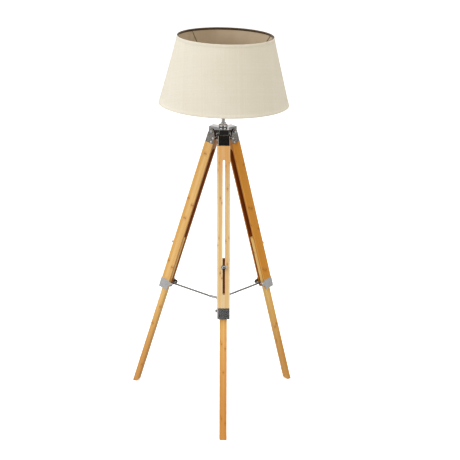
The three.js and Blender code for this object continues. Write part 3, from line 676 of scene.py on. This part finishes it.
def hex_nut(radius, height, hole):
    """A hexagon nut on z = 0, its corners turned down at both faces, with a plain bore chamfered at both
    ends.
    """
    corners = [(radius * math.cos(math.radians(60 * side)), radius * math.sin(math.radians(60 * side)))
               for side in range(6)]
    chamfer = radius * 0.13
    turned = lathe([(0, 0), (radius - chamfer, 0), (radius + 0.05, chamfer * 0.62),
                    (radius + 0.05, height - chamfer * 0.62), (radius - chamfer, height), (0, height)], 60)
    body = combine(prism(corners, height), turned, "INTERSECT")
    bore = lathe([(0, -1), (hole + 0.5, -1), (hole, 0.5), (hole, height - 0.5), (hole + 0.5, height + 1),
                  (0, height + 1)], FINE)
    return combine(body, bore, "DIFFERENCE")


def threaded(radius, start, end, pitch=0.8, depth=0.3):
    """Outline points of a thread from one height to another, a shade finer than its real pitch."""
    turns = max(1, round((end - start) / pitch))
    points = []
    for turn in range(turns):
        low = start + (end - start) * turn / turns
        step = (end - start) / turns
        points += [(radius - depth, low), (radius, low + step * 0.35), (radius, low + step * 0.55)]
    return points + [(radius - depth, end)]


def screw(radius, start, end, thread_from=None):
    """A shank about z from start to end. It is threaded from thread_from to its far end."""
    plain_end = end if thread_from is None else thread_from
    points = [(0, start), (radius, start), (radius, plain_end)]
    if thread_from is not None:
        points += threaded(radius, thread_from, end - 0.4)
    points += [(radius - 0.6, end), (0, end)]
    return lathe(points, 28)


CAP_SCREW = pan_head(RIVET["head"], RIVET["rise"])
PIVOT_HEAD = pan_head(PIVOT["head"], PIVOT["rise"])
CLAMP_HEAD = pan_head(CLAMP["head"], CLAMP["rise"])
PIVOT_NUT = hex_nut(PIVOT["nut"], PIVOT["nut_height"], PIVOT["shank"] + 0.3)
CLAMP_NUT = hex_nut(CLAMP["nut"], CLAMP["nut_height"], CLAMP["shank"] + 0.3)


def facing(side, seat, spin):
    """Stands a head that was drawn on z = 0 on the +x or -x side, turned by `spin` degrees."""
    return (Matrix.Translation((side * seat, 0, 0)) @ Matrix.Rotation(math.radians(90 * side), 4, "Y")
            @ Matrix.Rotation(math.radians(spin), 4, "Z"))


def cap_screws(leg, which, spins):
    name = f"{leg}_cap_rivet_{which}"
    low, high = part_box(name)
    middle = in_leg(leg, (low + high) / 2)
    place = Matrix.Translation((0, middle.y, middle.z))
    shank = placed(screw(RIVET["shank"], -RIVET["seat"] - 0.2, RIVET["seat"] + 0.2), TURN_X)
    heads = [placed(CAP_SCREW.copy(), facing(side, RIVET["seat"], spin))
             for side, spin in zip((1, -1), spins)]
    bm = placed(merge(shank, *heads), TO_ROW[leg], place)
    piece(f"{name}_screw", finish_mesh(bm, name), "bright_nickel", f"{leg}_upper", (name,))


def cross_bolt(leg, label, size, middle, head, nut, look, spin):
    """A bolt across the leg with its head on the +x side and its nut on the -x side."""
    place = TO_ROW[leg] @ Matrix.Translation((0, middle.y, middle.z))
    seat = size["seat"]
    end = seat + size["nut_height"] + 2
    shank = screw(size["shank"], -seat - 0.2, end, 0.6 * seat)
    shank = placed(shank, Matrix.Rotation(math.radians(-90), 4, "Y"))
    bolt = placed(merge(shank, placed(head.copy(), facing(1, seat, spin))), place)
    name = f"{leg}_{label}"
    piece(f"{name}_bolt_screw", finish_mesh(bolt, label), look, f"{leg}_upper", (f"{name}_bolt",))
    body = placed(nut.copy(), place, facing(-1, seat, spin + 11))
    piece(f"{name}_nut_hex", finish_mesh(body, label, 30.0), look, f"{leg}_upper", (f"{name}_nut",))


OUTWARD = Matrix.Rotation(math.radians(90), 4, "X")         # z to -y, out of the leg's outer face


def slide_bolt(leg):
    """The stud of the wing nut, set in the lower leg and standing out through the slot, and its washer."""
    along = Matrix.Translation((0, 0, SLIDE["along"]))
    radius, washer = SLIDE["radius"], WASHER
    points = [(0, -SLIDE["to"]), (radius, -SLIDE["to"]), (radius, washer["seat"] - 3.0)]
    points += threaded(radius, washer["seat"] - 2.0, SLIDE["from"] - 0.5)
    points += [(radius - 0.7, SLIDE["from"]), (0, SLIDE["from"])]
    name = f"{leg}_slide_bolt"
    stud = placed(lathe(points, FINE), TO_ROW[leg], along, OUTWARD)
    piece(f"{name}_stud", finish_mesh(stud, name), "satin", f"{leg}_lower", (name,))
    low, high = washer["seat"], washer["seat"] + washer["thickness"]
    section = box_section(radius + 0.3, washer["radius"], low, high)
    name = f"{leg}_slide_washer"
    disc = placed(ring_lathe(section, 0.25, 48), TO_ROW[leg], along, OUTWARD)
    piece(f"{name}_disc", finish_mesh(disc, name), "chrome", f"{leg}_lower", (name,))


def wing_blade(side):
    """One ear of the wing nut in its x-z plane: it leaves the hub low and ends in a round tip."""
    tip = WING["tip"]
    middle = (WING["span"] - tip, WING["rise"] - tip)
    outline = []
    for degrees in range(-60, 151, 10):
        turn = math.radians(degrees)
        outline.append((middle[0] + tip * math.cos(turn), middle[1] + tip * math.sin(turn)))
    outline += [(4.2, WING["height"] - 0.2), (4.2, 1.1)]
    blade = placed(prism(outline, WING["thick"]), Matrix.Translation((0, WING["thick"] / 2, 0)), OUTWARD)
    return placed(blade, Matrix.Rotation(0 if side > 0 else math.pi, 4, "Z"))


def wing_nut_mesh():
    """A cast wing nut on z = 0: hub and ears run into each other, so they are remeshed as one skin."""
    bore, hub, height = SLIDE["radius"] + 0.3, WING["hub"], WING["height"]
    section = [(bore, 0), (hub, 0), (hub, 1.8), (hub - 1.3, height), (bore, height)]
    bm = merge(ring_lathe(section, 0.4, FINE), wing_blade(1), wing_blade(-1))
    bmesh.ops.recalc_face_normals(bm, faces=bm.faces)
    mesh = bpy.data.meshes.new("wing_nut")
    bm.to_mesh(mesh)
    bm.free()
    cast = bpy.data.objects.new("wing_nut", mesh)
    bpy.context.scene.collection.objects.link(cast)
    remesh = cast.modifiers.new("skin", "REMESH")
    remesh.mode = "VOXEL"
    remesh.voxel_size = 0.34
    smooth = cast.modifiers.new("smooth", "SMOOTH")
    smooth.factor = 0.5
    smooth.iterations = 7
    result = bmesh.new()
    result.from_mesh(cast.evaluated_get(bpy.context.evaluated_depsgraph_get()).to_mesh())
    bpy.data.objects.remove(cast)
    bpy.data.meshes.remove(mesh)
    return result


WING_NUT = wing_nut_mesh()


def wing_nut(leg):
    place = Matrix.Translation((0, -WING["seat"], SLIDE["along"]))
    turn = Matrix.Rotation(math.radians(WING["turn"]), 4, "Z")
    bm = placed(WING_NUT.copy(), TO_ROW[leg], place, OUTWARD, turn)
    name = f"{leg}_wing_nut"
    piece(f"{name}_cast", finish_mesh(bm, name, 80.0), "chrome", f"{leg}_wing", (name,))


def hub_pin(leg):
    """The direction out to a leg, the level direction across it, and its rod's pin on the hub."""
    bolt = Vector(joint(f"{leg}_rod_swing")["pos_m"])
    outward = Vector((bolt.x - AXIS.x, bolt.y - AXIS.y, 0)).normalized()
    pin = AXIS + outward * ROD["pin_radius"] * M + Vector((0, 0, ROD["hub_height"] * M))
    return outward, Vector((0, 0, 1)).cross(outward).normalized(), pin


def spreader_rod(leg):
    """A round rod with a welded eye on the clamp bolt, flattened at the hub end."""
    bolt = Vector(joint(f"{leg}_rod_swing")["pos_m"])
    _, across, hub = hub_pin(leg)
    along = (hub - bolt).normalized()
    place = axes_matrix(bolt, across, along, across.cross(along))
    length = (hub - bolt).length / M
    sections = []
    stations = [3.0] + [6.0 + step * (length - 28.0) / 8 for step in range(9)]
    stations += [length - 20 + step * 2.0 for step in range(10)]
    stations += [length + ROD["tip"] * math.sin(math.radians(step * 9)) for step in range(11)]
    for y in stations:
        flat = min(1.0, max(0.0, (y - (length - ROD["blade_length"] - 4)) / 7))
        flat = flat * flat * (3 - 2 * flat)
        half_x = ROD["radius"] + (ROD["blade"] - ROD["radius"]) * flat
        half_z = ROD["radius"] + (ROD["tip"] - ROD["radius"]) * flat
        if y > length:
            half_z = max(0.25, math.sqrt(max(0.0, ROD["tip"] ** 2 - (y - length) ** 2)))
        power = 2 + 5 * flat
        ring = []
        for step in range(24):
            turn = 2 * math.pi * step / 24
            cos, sin = math.cos(turn), math.sin(turn)
            ring.append((half_x * math.copysign(abs(cos) ** (2 / power), cos), y,
                         half_z * math.copysign(abs(sin) ** (2 / power), sin)))
        sections.append(ring)
    shank = loft(sections)
    hole = lathe([(0, -5), (ROD["pin_hole"], -5), (ROD["pin_hole"], 5), (0, 5)], FINE)
    shank = combine(shank, placed(hole, Matrix.Translation((0, length, 0)), TURN_X), "DIFFERENCE")
    half = ROD["eye_width"] / 2
    eye = placed(ring_lathe(box_section(ROD["hole"], ROD["eye"], -half, half), 0.5, FINE), TURN_X)
    bm = placed(combine(shank, eye, "UNION"), place)
    name = f"{leg}_spreader_rod"
    return piece(f"{name}_bar", finish_mesh(bm, name, 44.0), "rod_steel", f"{leg}_rod", (name,))


def hub_pins():
    """Rivets through the hub's plates, one for each rod."""
    outline = [(0, -6.4), (1.0, -6.35), (1.9, -6.0), (2.2, -5.4), (1.35, -5.3), (1.35, 5.3), (2.2, 5.4),
               (1.9, 6.0), (1.0, 6.35), (0, 6.4)]
    for leg in LEGS:
        outward, across, pin = hub_pin(leg)
        # A known fault: the second axis comes out the same as the first, so the rivet is squashed flat.
        place = axes_matrix(pin, outward, Vector((0, 0, 1)).cross(across) * -1, across)
        rivet = placed(lathe(outline, 24), place)
        piece(f"{leg}_hub_rivet", finish_mesh(rivet, "rivet"), "satin", "spreader_hub")


# ---------- head ----------
def head_turning(name, bm, look, body="head", sharp=38.0):
    return piece(name + "_turned", finish_mesh(placed(bm, TO_HEAD), name, sharp), look, body, (name,))


def heights(node):
    """The lowest and highest height of a node, in millimetres."""
    low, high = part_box(node)
    return low.z / M, high.z / M


def barrel():
    low, high = heights("socket_barrel")
    radius = BARREL["radius"]
    outline = [(BARREL["bore"], low), (radius - 1.4, low), (radius, low + 1.6), (radius, high - 4.2),
               (radius - 0.5, high - 2.7), (radius - 1.7, high - 1.3), (radius - 4.0, high - 0.4),
               (radius - 7.0, high), (BARREL["bore"], high)]
    head_turning("socket_barrel", ring_lathe(outline, 0.9), "chrome")


def collar():
    low, high = heights("neck_collar")
    outline = [(BARREL["bore"], low), (COLLAR["foot"], low), (COLLAR["foot"], low + COLLAR["shoulder"]),
               (COLLAR["top"], high - 0.3), (COLLAR["top"] - 0.4, high), (BARREL["bore"], high)]
    place = Matrix.Translation((0, 0, low + COLLAR["screw_up"]))
    hole = COLLAR["screw"] + 0.3
    drilled = placed(lathe([(0, 5), (hole, 5), (hole, 12), (0, 12)], FINE), place, TURN_X)
    head_turning("neck_collar", combine(ring_lathe(outline, 0.4), drilled, "DIFFERENCE"), "chrome")
    screw_low, screw_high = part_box("neck_screw")
    start, end = (screw_low.x - AXIS.x) / M, (screw_high.x - AXIS.x) / M
    shank, head = COLLAR["screw"], COLLAR["head"]
    slotted = solid_lathe([(0, start), (shank, start), (shank, end - 2.0), (head, end - 1.9),
                           (head, end - 0.5), (head - 0.5, end), (0, end)], 0.2)
    cut = prism([(-4, -0.4), (4, -0.4), (4, 0.4), (-4, 0.4)], 2)
    cut = placed(cut, Matrix.Translation((0, 0, end - 0.8)))
    tool = combine(slotted, cut, "DIFFERENCE")
    head_turning("neck_screw", placed(tool, place, TURN_X), "chrome", "neck_screw")


def neck_tube():
    low, high = heights("neck_tube")
    inner, outer = TUBE["inner"], TUBE["outer"]
    outline = [(inner, low), (outer - 0.4, low)]
    outline += threaded(outer, low + 0.5, low + TUBE["thread"], 1.0, 0.35)
    outline += [(outer, low + TUBE["thread"] + 0.6), (outer, high - 0.4), (outer - 0.4, high),
                (inner, high)]
    head_turning("neck_tube", lathe(outline, TURNED, closed=True), "tube_chrome")


def under_bracket():
    low, high = heights("lock_nut")
    nut = placed(hex_nut(LOCK_NUT["radius"], high - low, LOCK_NUT["hole"]), Matrix.Translation((0, 0, low)))
    head_turning("lock_nut", nut, "satin", sharp=30.0)
    low, high = heights("cable_gland")
    bore, spout, flange = GLAND["bore"], GLAND["spout"], GLAND["collar"]
    outline = [(bore, low), (spout, low)]
    for step in range(4):
        height = low + 1.6 + step * 1.6
        outline += [(spout, height), (spout + 0.35, height + 0.5), (spout, height + 1.0)]
    outline += [(spout + 0.6, high - 5.4), (flange, high - 5), (flange, high), (bore, high)]
    head_turning("cable_gland", ring_lathe(outline, 0.25), "bakelite")


def lampholder():
    low = HOLDER["bottom"]
    base = [(TUBE["inner"], low), (9.0, low), (9.2, low + 3.6), (12.0, low + 6.6), (16.6, low + 10.4),
            (17.0, low + 12.0), (15.0, low + 12.0), (12.0, low + 8.6), (TUBE["inner"], low + 5)]
    head_turning("lampholder_base", ring_lathe(base, 0.6), "bakelite")

    shell, mouth, top = HOLDER["shell"], HOLDER["mouth"], HOLDER["top"]
    outline = [(mouth + 1.6, HOLDER["shell_bottom"]), (shell - 1.2, HOLDER["shell_bottom"]),
               (shell - 1.0, HOLDER["flange"]), (HOLDER["flange_radius"] - 0.3, HOLDER["flange"]),
               (HOLDER["flange_radius"], HOLDER["flange"] + 0.7), (HOLDER["flange_radius"] - 0.4, 1169.0),
               (shell - 0.7, 1169.0)]
    outline += threaded(shell - 0.1, 1170.0, top - 2.6, 2.6, 0.55)
    outline += [(shell - 0.6, top - 1.4), (shell - 1.4, top), (mouth + 0.9, top), (mouth + 0.4, top - 0.6),
                (mouth + 0.4, top - 12), (mouth + 1.6, top - 12)]
    head_turning("lampholder_shell", lathe(outline, TURNED, closed=True), "bakelite", sharp=46.0)

    insert = [(0, HOLDER["shell_bottom"] + 1), (mouth + 1.2, HOLDER["shell_bottom"] + 1),
              (mouth + 1.2, HOLDER["contact"]), (8.5, HOLDER["contact"]), (8.0, HOLDER["contact"] - 0.6),
              (5.0, HOLDER["contact"] - 0.6), (4.6, HOLDER["contact"]), (0, HOLDER["contact"])]
    head_turning("lampholder_insert", solid_lathe(insert, 0.4, TURNED), "ceramic")
    low = HOLDER["contact"] + 0.3
    contact = [(0, low), (3.6, low), (3.5, low + 0.7), (2.4, low + 2.3), (1.2, low + 2.9), (0, low + 3.0)]
    head_turning("centre_contact", solid_lathe(contact, 0.4), "brass")

    # The rolled metal thread that takes the bulb.
    inner = []
    turns = 5
    for turn in range(turns * 6 + 1):
        height = HOLDER["contact"] + 1.0 + turn / 6 * 3.1
        inner.append((13.55 + 0.5 * math.cos(turn / 6 * 2 * math.pi), height))
    outer = [(radius + 0.3, height) for radius, height in reversed(inner)]
    thread = placed(lathe(inner + outer, TURNED, closed=True), TO_HEAD)
    piece("bulb_thread", finish_mesh(thread, "bulb_thread", 60.0), "zinc", "head", ())


def shade_ring():
    low, high = SHADE_RING["bottom"], SHADE_RING["bottom"] + SHADE_RING["height"]
    inner, outer = SHADE_RING["inner"], SHADE_RING["outer"]
    sides = SHADE_RING["ribs"] * 16
    section = fillet(box_section(inner, outer, low, high), 0.6, closed=True)
    bm = lathe(section, sides, closed=True)
    for vertex in bm.verts:
        radius = math.hypot(vertex.co.x, vertex.co.y)
        if radius < outer - 0.8:
            continue
        turn = math.atan2(vertex.co.y, vertex.co.x)
        rib = max(0.0, math.cos(turn * SHADE_RING["ribs"])) ** 6
        scale = (radius + 0.95 * rib) / radius
        vertex.co.x *= scale
        vertex.co.y *= scale
    head_turning("shade_ring", bm, "bakelite", "shade_ring", 60.0)


# ---------- shade ----------
SLOPE = (SHADE["bottom_radius"] - SHADE["top_radius"]) / (SHADE["top"] - SHADE["bottom"])
SLANT = math.hypot(SHADE["bottom_radius"] - SHADE["top_radius"], SHADE["top"] - SHADE["bottom"])
SIN_CONE = (SHADE["bottom_radius"] - SHADE["top_radius"]) / SLANT
COS_CONE = (SHADE["top"] - SHADE["bottom"]) / SLANT
APEX = SHADE["bottom_radius"] / SIN_CONE        # slant length from the cone's tip to its bottom edge
SEAM = math.radians(96)                         # where the cloth's ends lap, at the back


def shade_radius(height):
    return SHADE["bottom_radius"] - SLOPE * (height - SHADE["bottom"])


def on_slant(distance, out):
    """(radius, height) of a point `distance` up the cloth from its bottom edge and `out` proud of it."""
    return (SHADE["bottom_radius"] - distance * SIN_CONE + out * COS_CONE,
            SHADE["bottom"] + distance * COS_CONE + out * SIN_CONE)


def cloth_section():
    """The closed section of the cloth and its backing as (distance, out), with a hem at each edge."""
    hem, rise, skin = SHADE["hem"], SHADE["hem_rise"], SHADE["skin"]
    outer = [(0.5, -0.45), (0.0, 0.05), (0.35, 0.45), (1.6, 0.62), (4.0, 0.55), (6.5, rise),
             (hem - 0.6, rise), (hem, 0.05), (hem + 1.0, 0.0)]
    plain = [(hem + 1.0 + (SLANT - 2 * hem - 2.0) * step / 22, 0.0) for step in range(1, 22)]
    upper = [(SLANT - distance, out) for distance, out in reversed(outer)]
    inner_top = [(SLANT - 0.9, -skin), (SLANT - 9.0, -skin), (SLANT - 9.4, -skin + 0.25)]
    inside = [(SLANT - 12.0 - (SLANT - 24.0) * step / 14, -skin + 0.3) for step in range(15)]
    inner_bottom = [(9.4, -skin + 0.25), (9.0, -skin), (0.9, -skin)]
    return outer + plain + upper + inner_top + inside + inner_bottom


def shade_cloth():
    """Cloth laminated to its backing, lapped at the back, with UVs on the flat cut."""
    section = cloth_section()
    bm = bmesh.new()
    uv = bm.loops.layers.uv.new("flat")
    columns = []
    for side in range(SHADE_SIDES):
        from_seam = 2 * math.pi * side / SHADE_SIDES
        turn = SEAM + from_seam
        if from_seam > math.pi:
            from_seam -= 2 * math.pi
        lap = 1.0 / (1.0 + math.exp(-(from_seam * 200.0 + 5.0) * 2.5)) if abs(from_seam) < 0.06 else 0.0
        lap = lap * (1.0 if from_seam < 0.03 else max(0.0, (0.06 - from_seam) / 0.03))
        column = []
        for distance, out in section:
            # The cloth isn't quite round between its struts, and lies a little unevenly.
            wave = 0.35 * math.sin(3 * turn + 0.6) + 0.16 * math.sin(7 * turn + distance * 0.013)
            middle = math.sin(math.pi * distance / SLANT)
            proud = out + (0.55 * lap if out >= 0 else 0.0) + (wave - 0.7) * middle * 0.8
            radius, height = on_slant(distance, proud)
            column.append(bm.verts.new((radius * math.cos(turn), radius * math.sin(turn), height)))
        columns.append(column)
    count = len(section)
    for side in range(SHADE_SIDES):
        after = (side + 1) % SHADE_SIDES
        for index in range(count):
            up = (index + 1) % count
            face = bm.faces.new((columns[side][index], columns[after][index],
                                 columns[after][up], columns[side][up]))
            for loop, (step, at) in zip(face.loops, ((0, index), (1, index), (1, up), (0, up))):
                # A full turn of the cone opens out to SIN_CONE of a turn, with the front in its middle.
                angle = (2 * math.pi * (side + step) / SHADE_SIDES - math.pi) * SIN_CONE
                reach = (APEX - section[at][0]) * M
                loop[uv].uv = (reach * math.sin(angle), reach * math.cos(angle))
            if section[index][1] < -0.8 and section[up][1] < -0.8:
                face.material_index = 1
            if max(section[index][0], section[up][0]) > SLANT - 1.0 and section[up][1] < -0.2:
                face.material_index = 2
    mesh = finish_mesh(placed(bm, TO_HEAD), "shade_cloth", 70.0)
    cloth = piece("shade_cloth", mesh, "linen", "shade", ("shade_fabric",))
    mesh.materials.append(LOOKS["lining"])
    mesh.materials.append(LOOKS["bronze"])
    angle = 2 * math.pi * SIN_CONE


def wire_circle(height, steps=144):
    radius = shade_radius(height) - SHADE["skin"] - 0.3 - WIRE["radius"] * 1.2
    return [(radius * math.cos(turn), radius * math.sin(turn), height)
            for turn in (2 * math.pi * step / steps for step in range(steps))], radius


def shade_wires():
    """The top ring with its three struts and the plate on the lampholder, and the bottom ring."""
    level = SHADE["top"] - WIRE["top_inset"]
    circle, radius = wire_circle(level)
    ring = sweep(circle, WIRE["radius"], closed=True)
    inner, outer, height = STRUT["hub_inner"], STRUT["hub_outer"], STRUT["height"]
    seat = ring_lathe(box_section(inner, outer, height - 0.8, height + 0.8), 0.35)
    struts = []
    for index in range(3):
        start = Vector((outer - 2.0, 0, height + 0.6))
        elbow = Vector((outer + 4.0, 0, height + 1.2))
        end = Vector((radius - 0.5, 0, level))
        path = [start, start.lerp(elbow, 0.6)]
        path += [elbow.lerp(end, share) + Vector((1.0, 0, -1.0)) * (1 - share)
                 for share in (0.0, 0.02, 0.05, 0.1)]
        path += [elbow.lerp(end, share) for share in (0.2, 0.4, 0.6, 0.8, 1.0)]
        turn = Matrix.Rotation(math.radians(STRUT["first"] - 120 * index), 4, "Z")
        struts.append(placed(sweep(path, STRUT["radius"], 12), turn))
        bead = lathe([(0, -2.4), (1.3, -2.1), (2.0, -1.2), (2.2, 0), (2.0, 1.2), (1.3, 2.1), (0, 2.4)], 16)
        struts.append(placed(bead, turn, Matrix.Translation(end - Vector((1.2, 0, 1.0)))))
    bm = placed(merge(ring, seat, *struts), TO_HEAD)
    piece("shade_top_wires", finish_mesh(bm, "wires", 50.0), "bronze", "shade", ("shade_carrier",))
    low, _ = wire_circle(SHADE["bottom"] + WIRE["bottom_inset"])
    bm = placed(sweep(low, WIRE["radius"], closed=True), TO_HEAD)
    piece("shade_bottom_wire", finish_mesh(bm, "wire", 50.0), "bronze", "shade", ("shade_bottom_ring",))


def ear_shade_inside(band, leg):
    """The inner faces of a clamp band's ears get a near-black steel colour: painted shade between the ears.
    """
    band.data.materials.append(LOOKS["ear_shade_steel"])
    for face in band.data.polygons:
        middle = in_leg(leg, face.center)
        if abs(middle.x) < CLAMP["inside"] and middle.y > UPPER["depth"] / 2:
            face.material_index = 1


# ---------- the lamp ----------
def build_leg(leg, index):
    upper, lower = f"{leg}_upper", f"{leg}_lower"
    refined(f"{leg}_upper_wood", f"{leg}_upper_leg", f"bamboo_{leg}_upper", upper, 0.5)
    refined(f"{leg}_lower_wood", f"{leg}_lower_leg", f"bamboo_{leg}_lower", lower, 0.5)
    refined(f"{leg}_cap_sheet", f"{leg}_top_cap", "sheet_chrome", upper, 0.3)
    band = refined(f"{leg}_clamp_sheet", f"{leg}_clamp_band", "clamp_steel", upper, 0.35)
    ear_shade_inside(band, leg)
    cap_screws(leg, "lower", (17 + 40 * index, 64))
    cap_screws(leg, "upper", (52, 8 + 31 * index))
    pivot = in_leg(leg, joint(f"{leg}_fold")["pos_m"])
    cross_bolt(leg, "pivot", PIVOT, pivot, PIVOT_HEAD, PIVOT_NUT, "chrome", 25 + 35 * index)
    clamp = in_leg(leg, joint(f"{leg}_rod_swing")["pos_m"])
    cross_bolt(leg, "clamp", CLAMP, clamp, CLAMP_HEAD, CLAMP_NUT, "satin", 40 + 25 * index)
    slide_bolt(leg)
    wing_nut(leg)
    spreader_rod(leg)


for leg_index, leg_name in enumerate(LEGS):
    build_leg(leg_name, leg_index)
refined("head_bracket_sheet", "head_bracket", "bracket_chrome", "head", 0.3, 2.2, 120.0)
refined("spreader_hub_plates", "spreader_hub", "satin", "spreader_hub", 0.3)
hub_pins()
barrel()
collar()
neck_tube()
under_bracket()
lampholder()
shade_ring()
shade_cloth()
shade_wires()


# ---------- studio ----------
def stage_floor():
    """A white floor. It glows a little, so it stays white far from the lights."""
    bm = bmesh.new()
    bmesh.ops.create_grid(bm, x_segments=8, y_segments=8, size=30.0)
    floor = bpy.data.objects.new("floor", finish_mesh(bm, "floor"))
    bpy.context.scene.collection.objects.link(floor)
    material, graph, shader = new_material("pale_floor", Roughness=0.9, Emission_Strength=0.42)
    shader.inputs["Emission Color"].default_value = (1.0, 1.0, 1.0, 1.0)
    cloud = graph.noise(graph.node("TexCoord").outputs["Object"], 0.4, 2.0)
    graph.put(shader.inputs["Base Color"], graph.mix(cloud, (0.93, 0.93, 0.93, 1), (0.96, 0.96, 0.96, 1)))
    floor.data.materials.append(material)
    floor.visible_glossy = False
    floor.visible_diffuse = False


def studio_world():
    """White to the camera. Matt surfaces get soft light, brighter and cooler from the left. Reflections
    see black behind the camera, between two soft boxes."""
    world = bpy.data.worlds.new("studio")
    bpy.context.scene.world = world
    world.use_nodes = True
    graph = Graph(world.node_tree)
    background = world.node_tree.nodes["Background"]
    axes = graph.node("SeparateXYZ", {0: graph.node("TexCoord").outputs["Generated"]}).outputs
    turn = graph.math("ARCTAN2", axes[0], graph.times(axes[1], -1.0))
    share = graph.plus(graph.math("DIVIDE", turn, 2 * math.pi), 0.5)

    def grey(value):
        return (value, value, value * 1.01, 1.0)

    def around(*stops):
        return [(degrees / 360 + 0.5, grey(value)) for degrees, value in stops]

    # Each stop is a direction in degrees round from behind the camera, left first, and its brightness.
    above = graph.ramp(share, around(
        (-180, 0.95), (-138, 0.95), (-122, 0.10), (-98, 0.08), (-92, 1.2), (-32, 1.2), (-25, 0.028),
        (11, 0.028), (17, 1.2), (60, 1.2), (66, 0.08), (122, 0.10), (138, 0.95), (180, 0.95)))
    below = graph.ramp(share, around(
        (-180, 0.7), (-125, 0.35), (-75, 0.50), (-30, 0.50), (-18, 0.03),
        (12, 0.03), (30, 0.40), (75, 0.40), (125, 0.35), (180, 0.7)))
    sides = graph.mix(graph.step(axes[2], -0.03, 0.06), below, above)
    mirrored = graph.mix(graph.step(axes[2], 0.72, 0.84), sides, grey(0.9))
    soft = graph.mix(graph.step(axes[0], -0.9, 0.9), (0.86, 0.87, 0.89, 1.0), (0.58, 0.56, 0.52, 1.0))
    soft = graph.mix(graph.step(axes[2], 0.05, -0.35), soft, (0.40, 0.385, 0.36, 1.0))
    rays = graph.node("LightPath").outputs
    seen = graph.mix(rays["Is Camera Ray"], soft, grey(1.0))
    graph.put(background.inputs["Color"], graph.mix(rays["Is Glossy Ray"], seen, mirrored))


def soft_box(name, place, target, size, power, color=(1.0, 1.0, 1.0)):
    light = bpy.data.lights.new(name, "AREA")
    light.shape = "RECTANGLE"
    light.size, light.size_y = size
    light.energy = power
    light.color = color
    lamp = bpy.data.objects.new(name, light)
    bpy.context.scene.collection.objects.link(lamp)
    lamp.location = place
    lamp.rotation_euler = (Vector(place) - Vector(target)).to_track_quat("Z", "Y").to_euler()
    lamp.visible_glossy = False


def studio():
    stage_floor()
    studio_world()
    soft_box("key", (-3.8, -1.8, 2.5), (0, 0, 0.8), (2.0, 2.4), 80.0, (1.0, 0.995, 0.985))
    soft_box("fill", (3.0, -2.8, 2.0), (0, 0, 0.8), (1.8, 2.0), 43.0, (1.0, 0.95, 0.85))
    soft_box("top", (0.0, 0.4, 4.2), (0, 0, 0), (4.5, 4.5), 120.0)


def camera():
    settings = bpy.data.cameras.new("camera")
    settings.lens = CAMERA["lens"]
    settings.sensor_width = CAMERA["sensor"]
    view = bpy.data.objects.new("camera", settings)
    bpy.context.scene.collection.objects.link(view)
    forward = Vector(CAMERA["forward"]).normalized()
    level = Vector((forward.y, -forward.x, 0)).normalized()
    upright = level.cross(forward)
    roll = math.radians(CAMERA["roll"])
    right = level * math.cos(roll) + upright * math.sin(roll)
    up = upright * math.cos(roll) - level * math.sin(roll)
    turned = Matrix((right, up, -forward)).transposed().to_4x4()
    view.matrix_world = Matrix.Translation(CAMERA["place_M"]) @ turned
    bpy.context.scene.camera = view


studio()
camera()
bpy.context.scene.view_settings.view_transform = "Standard"
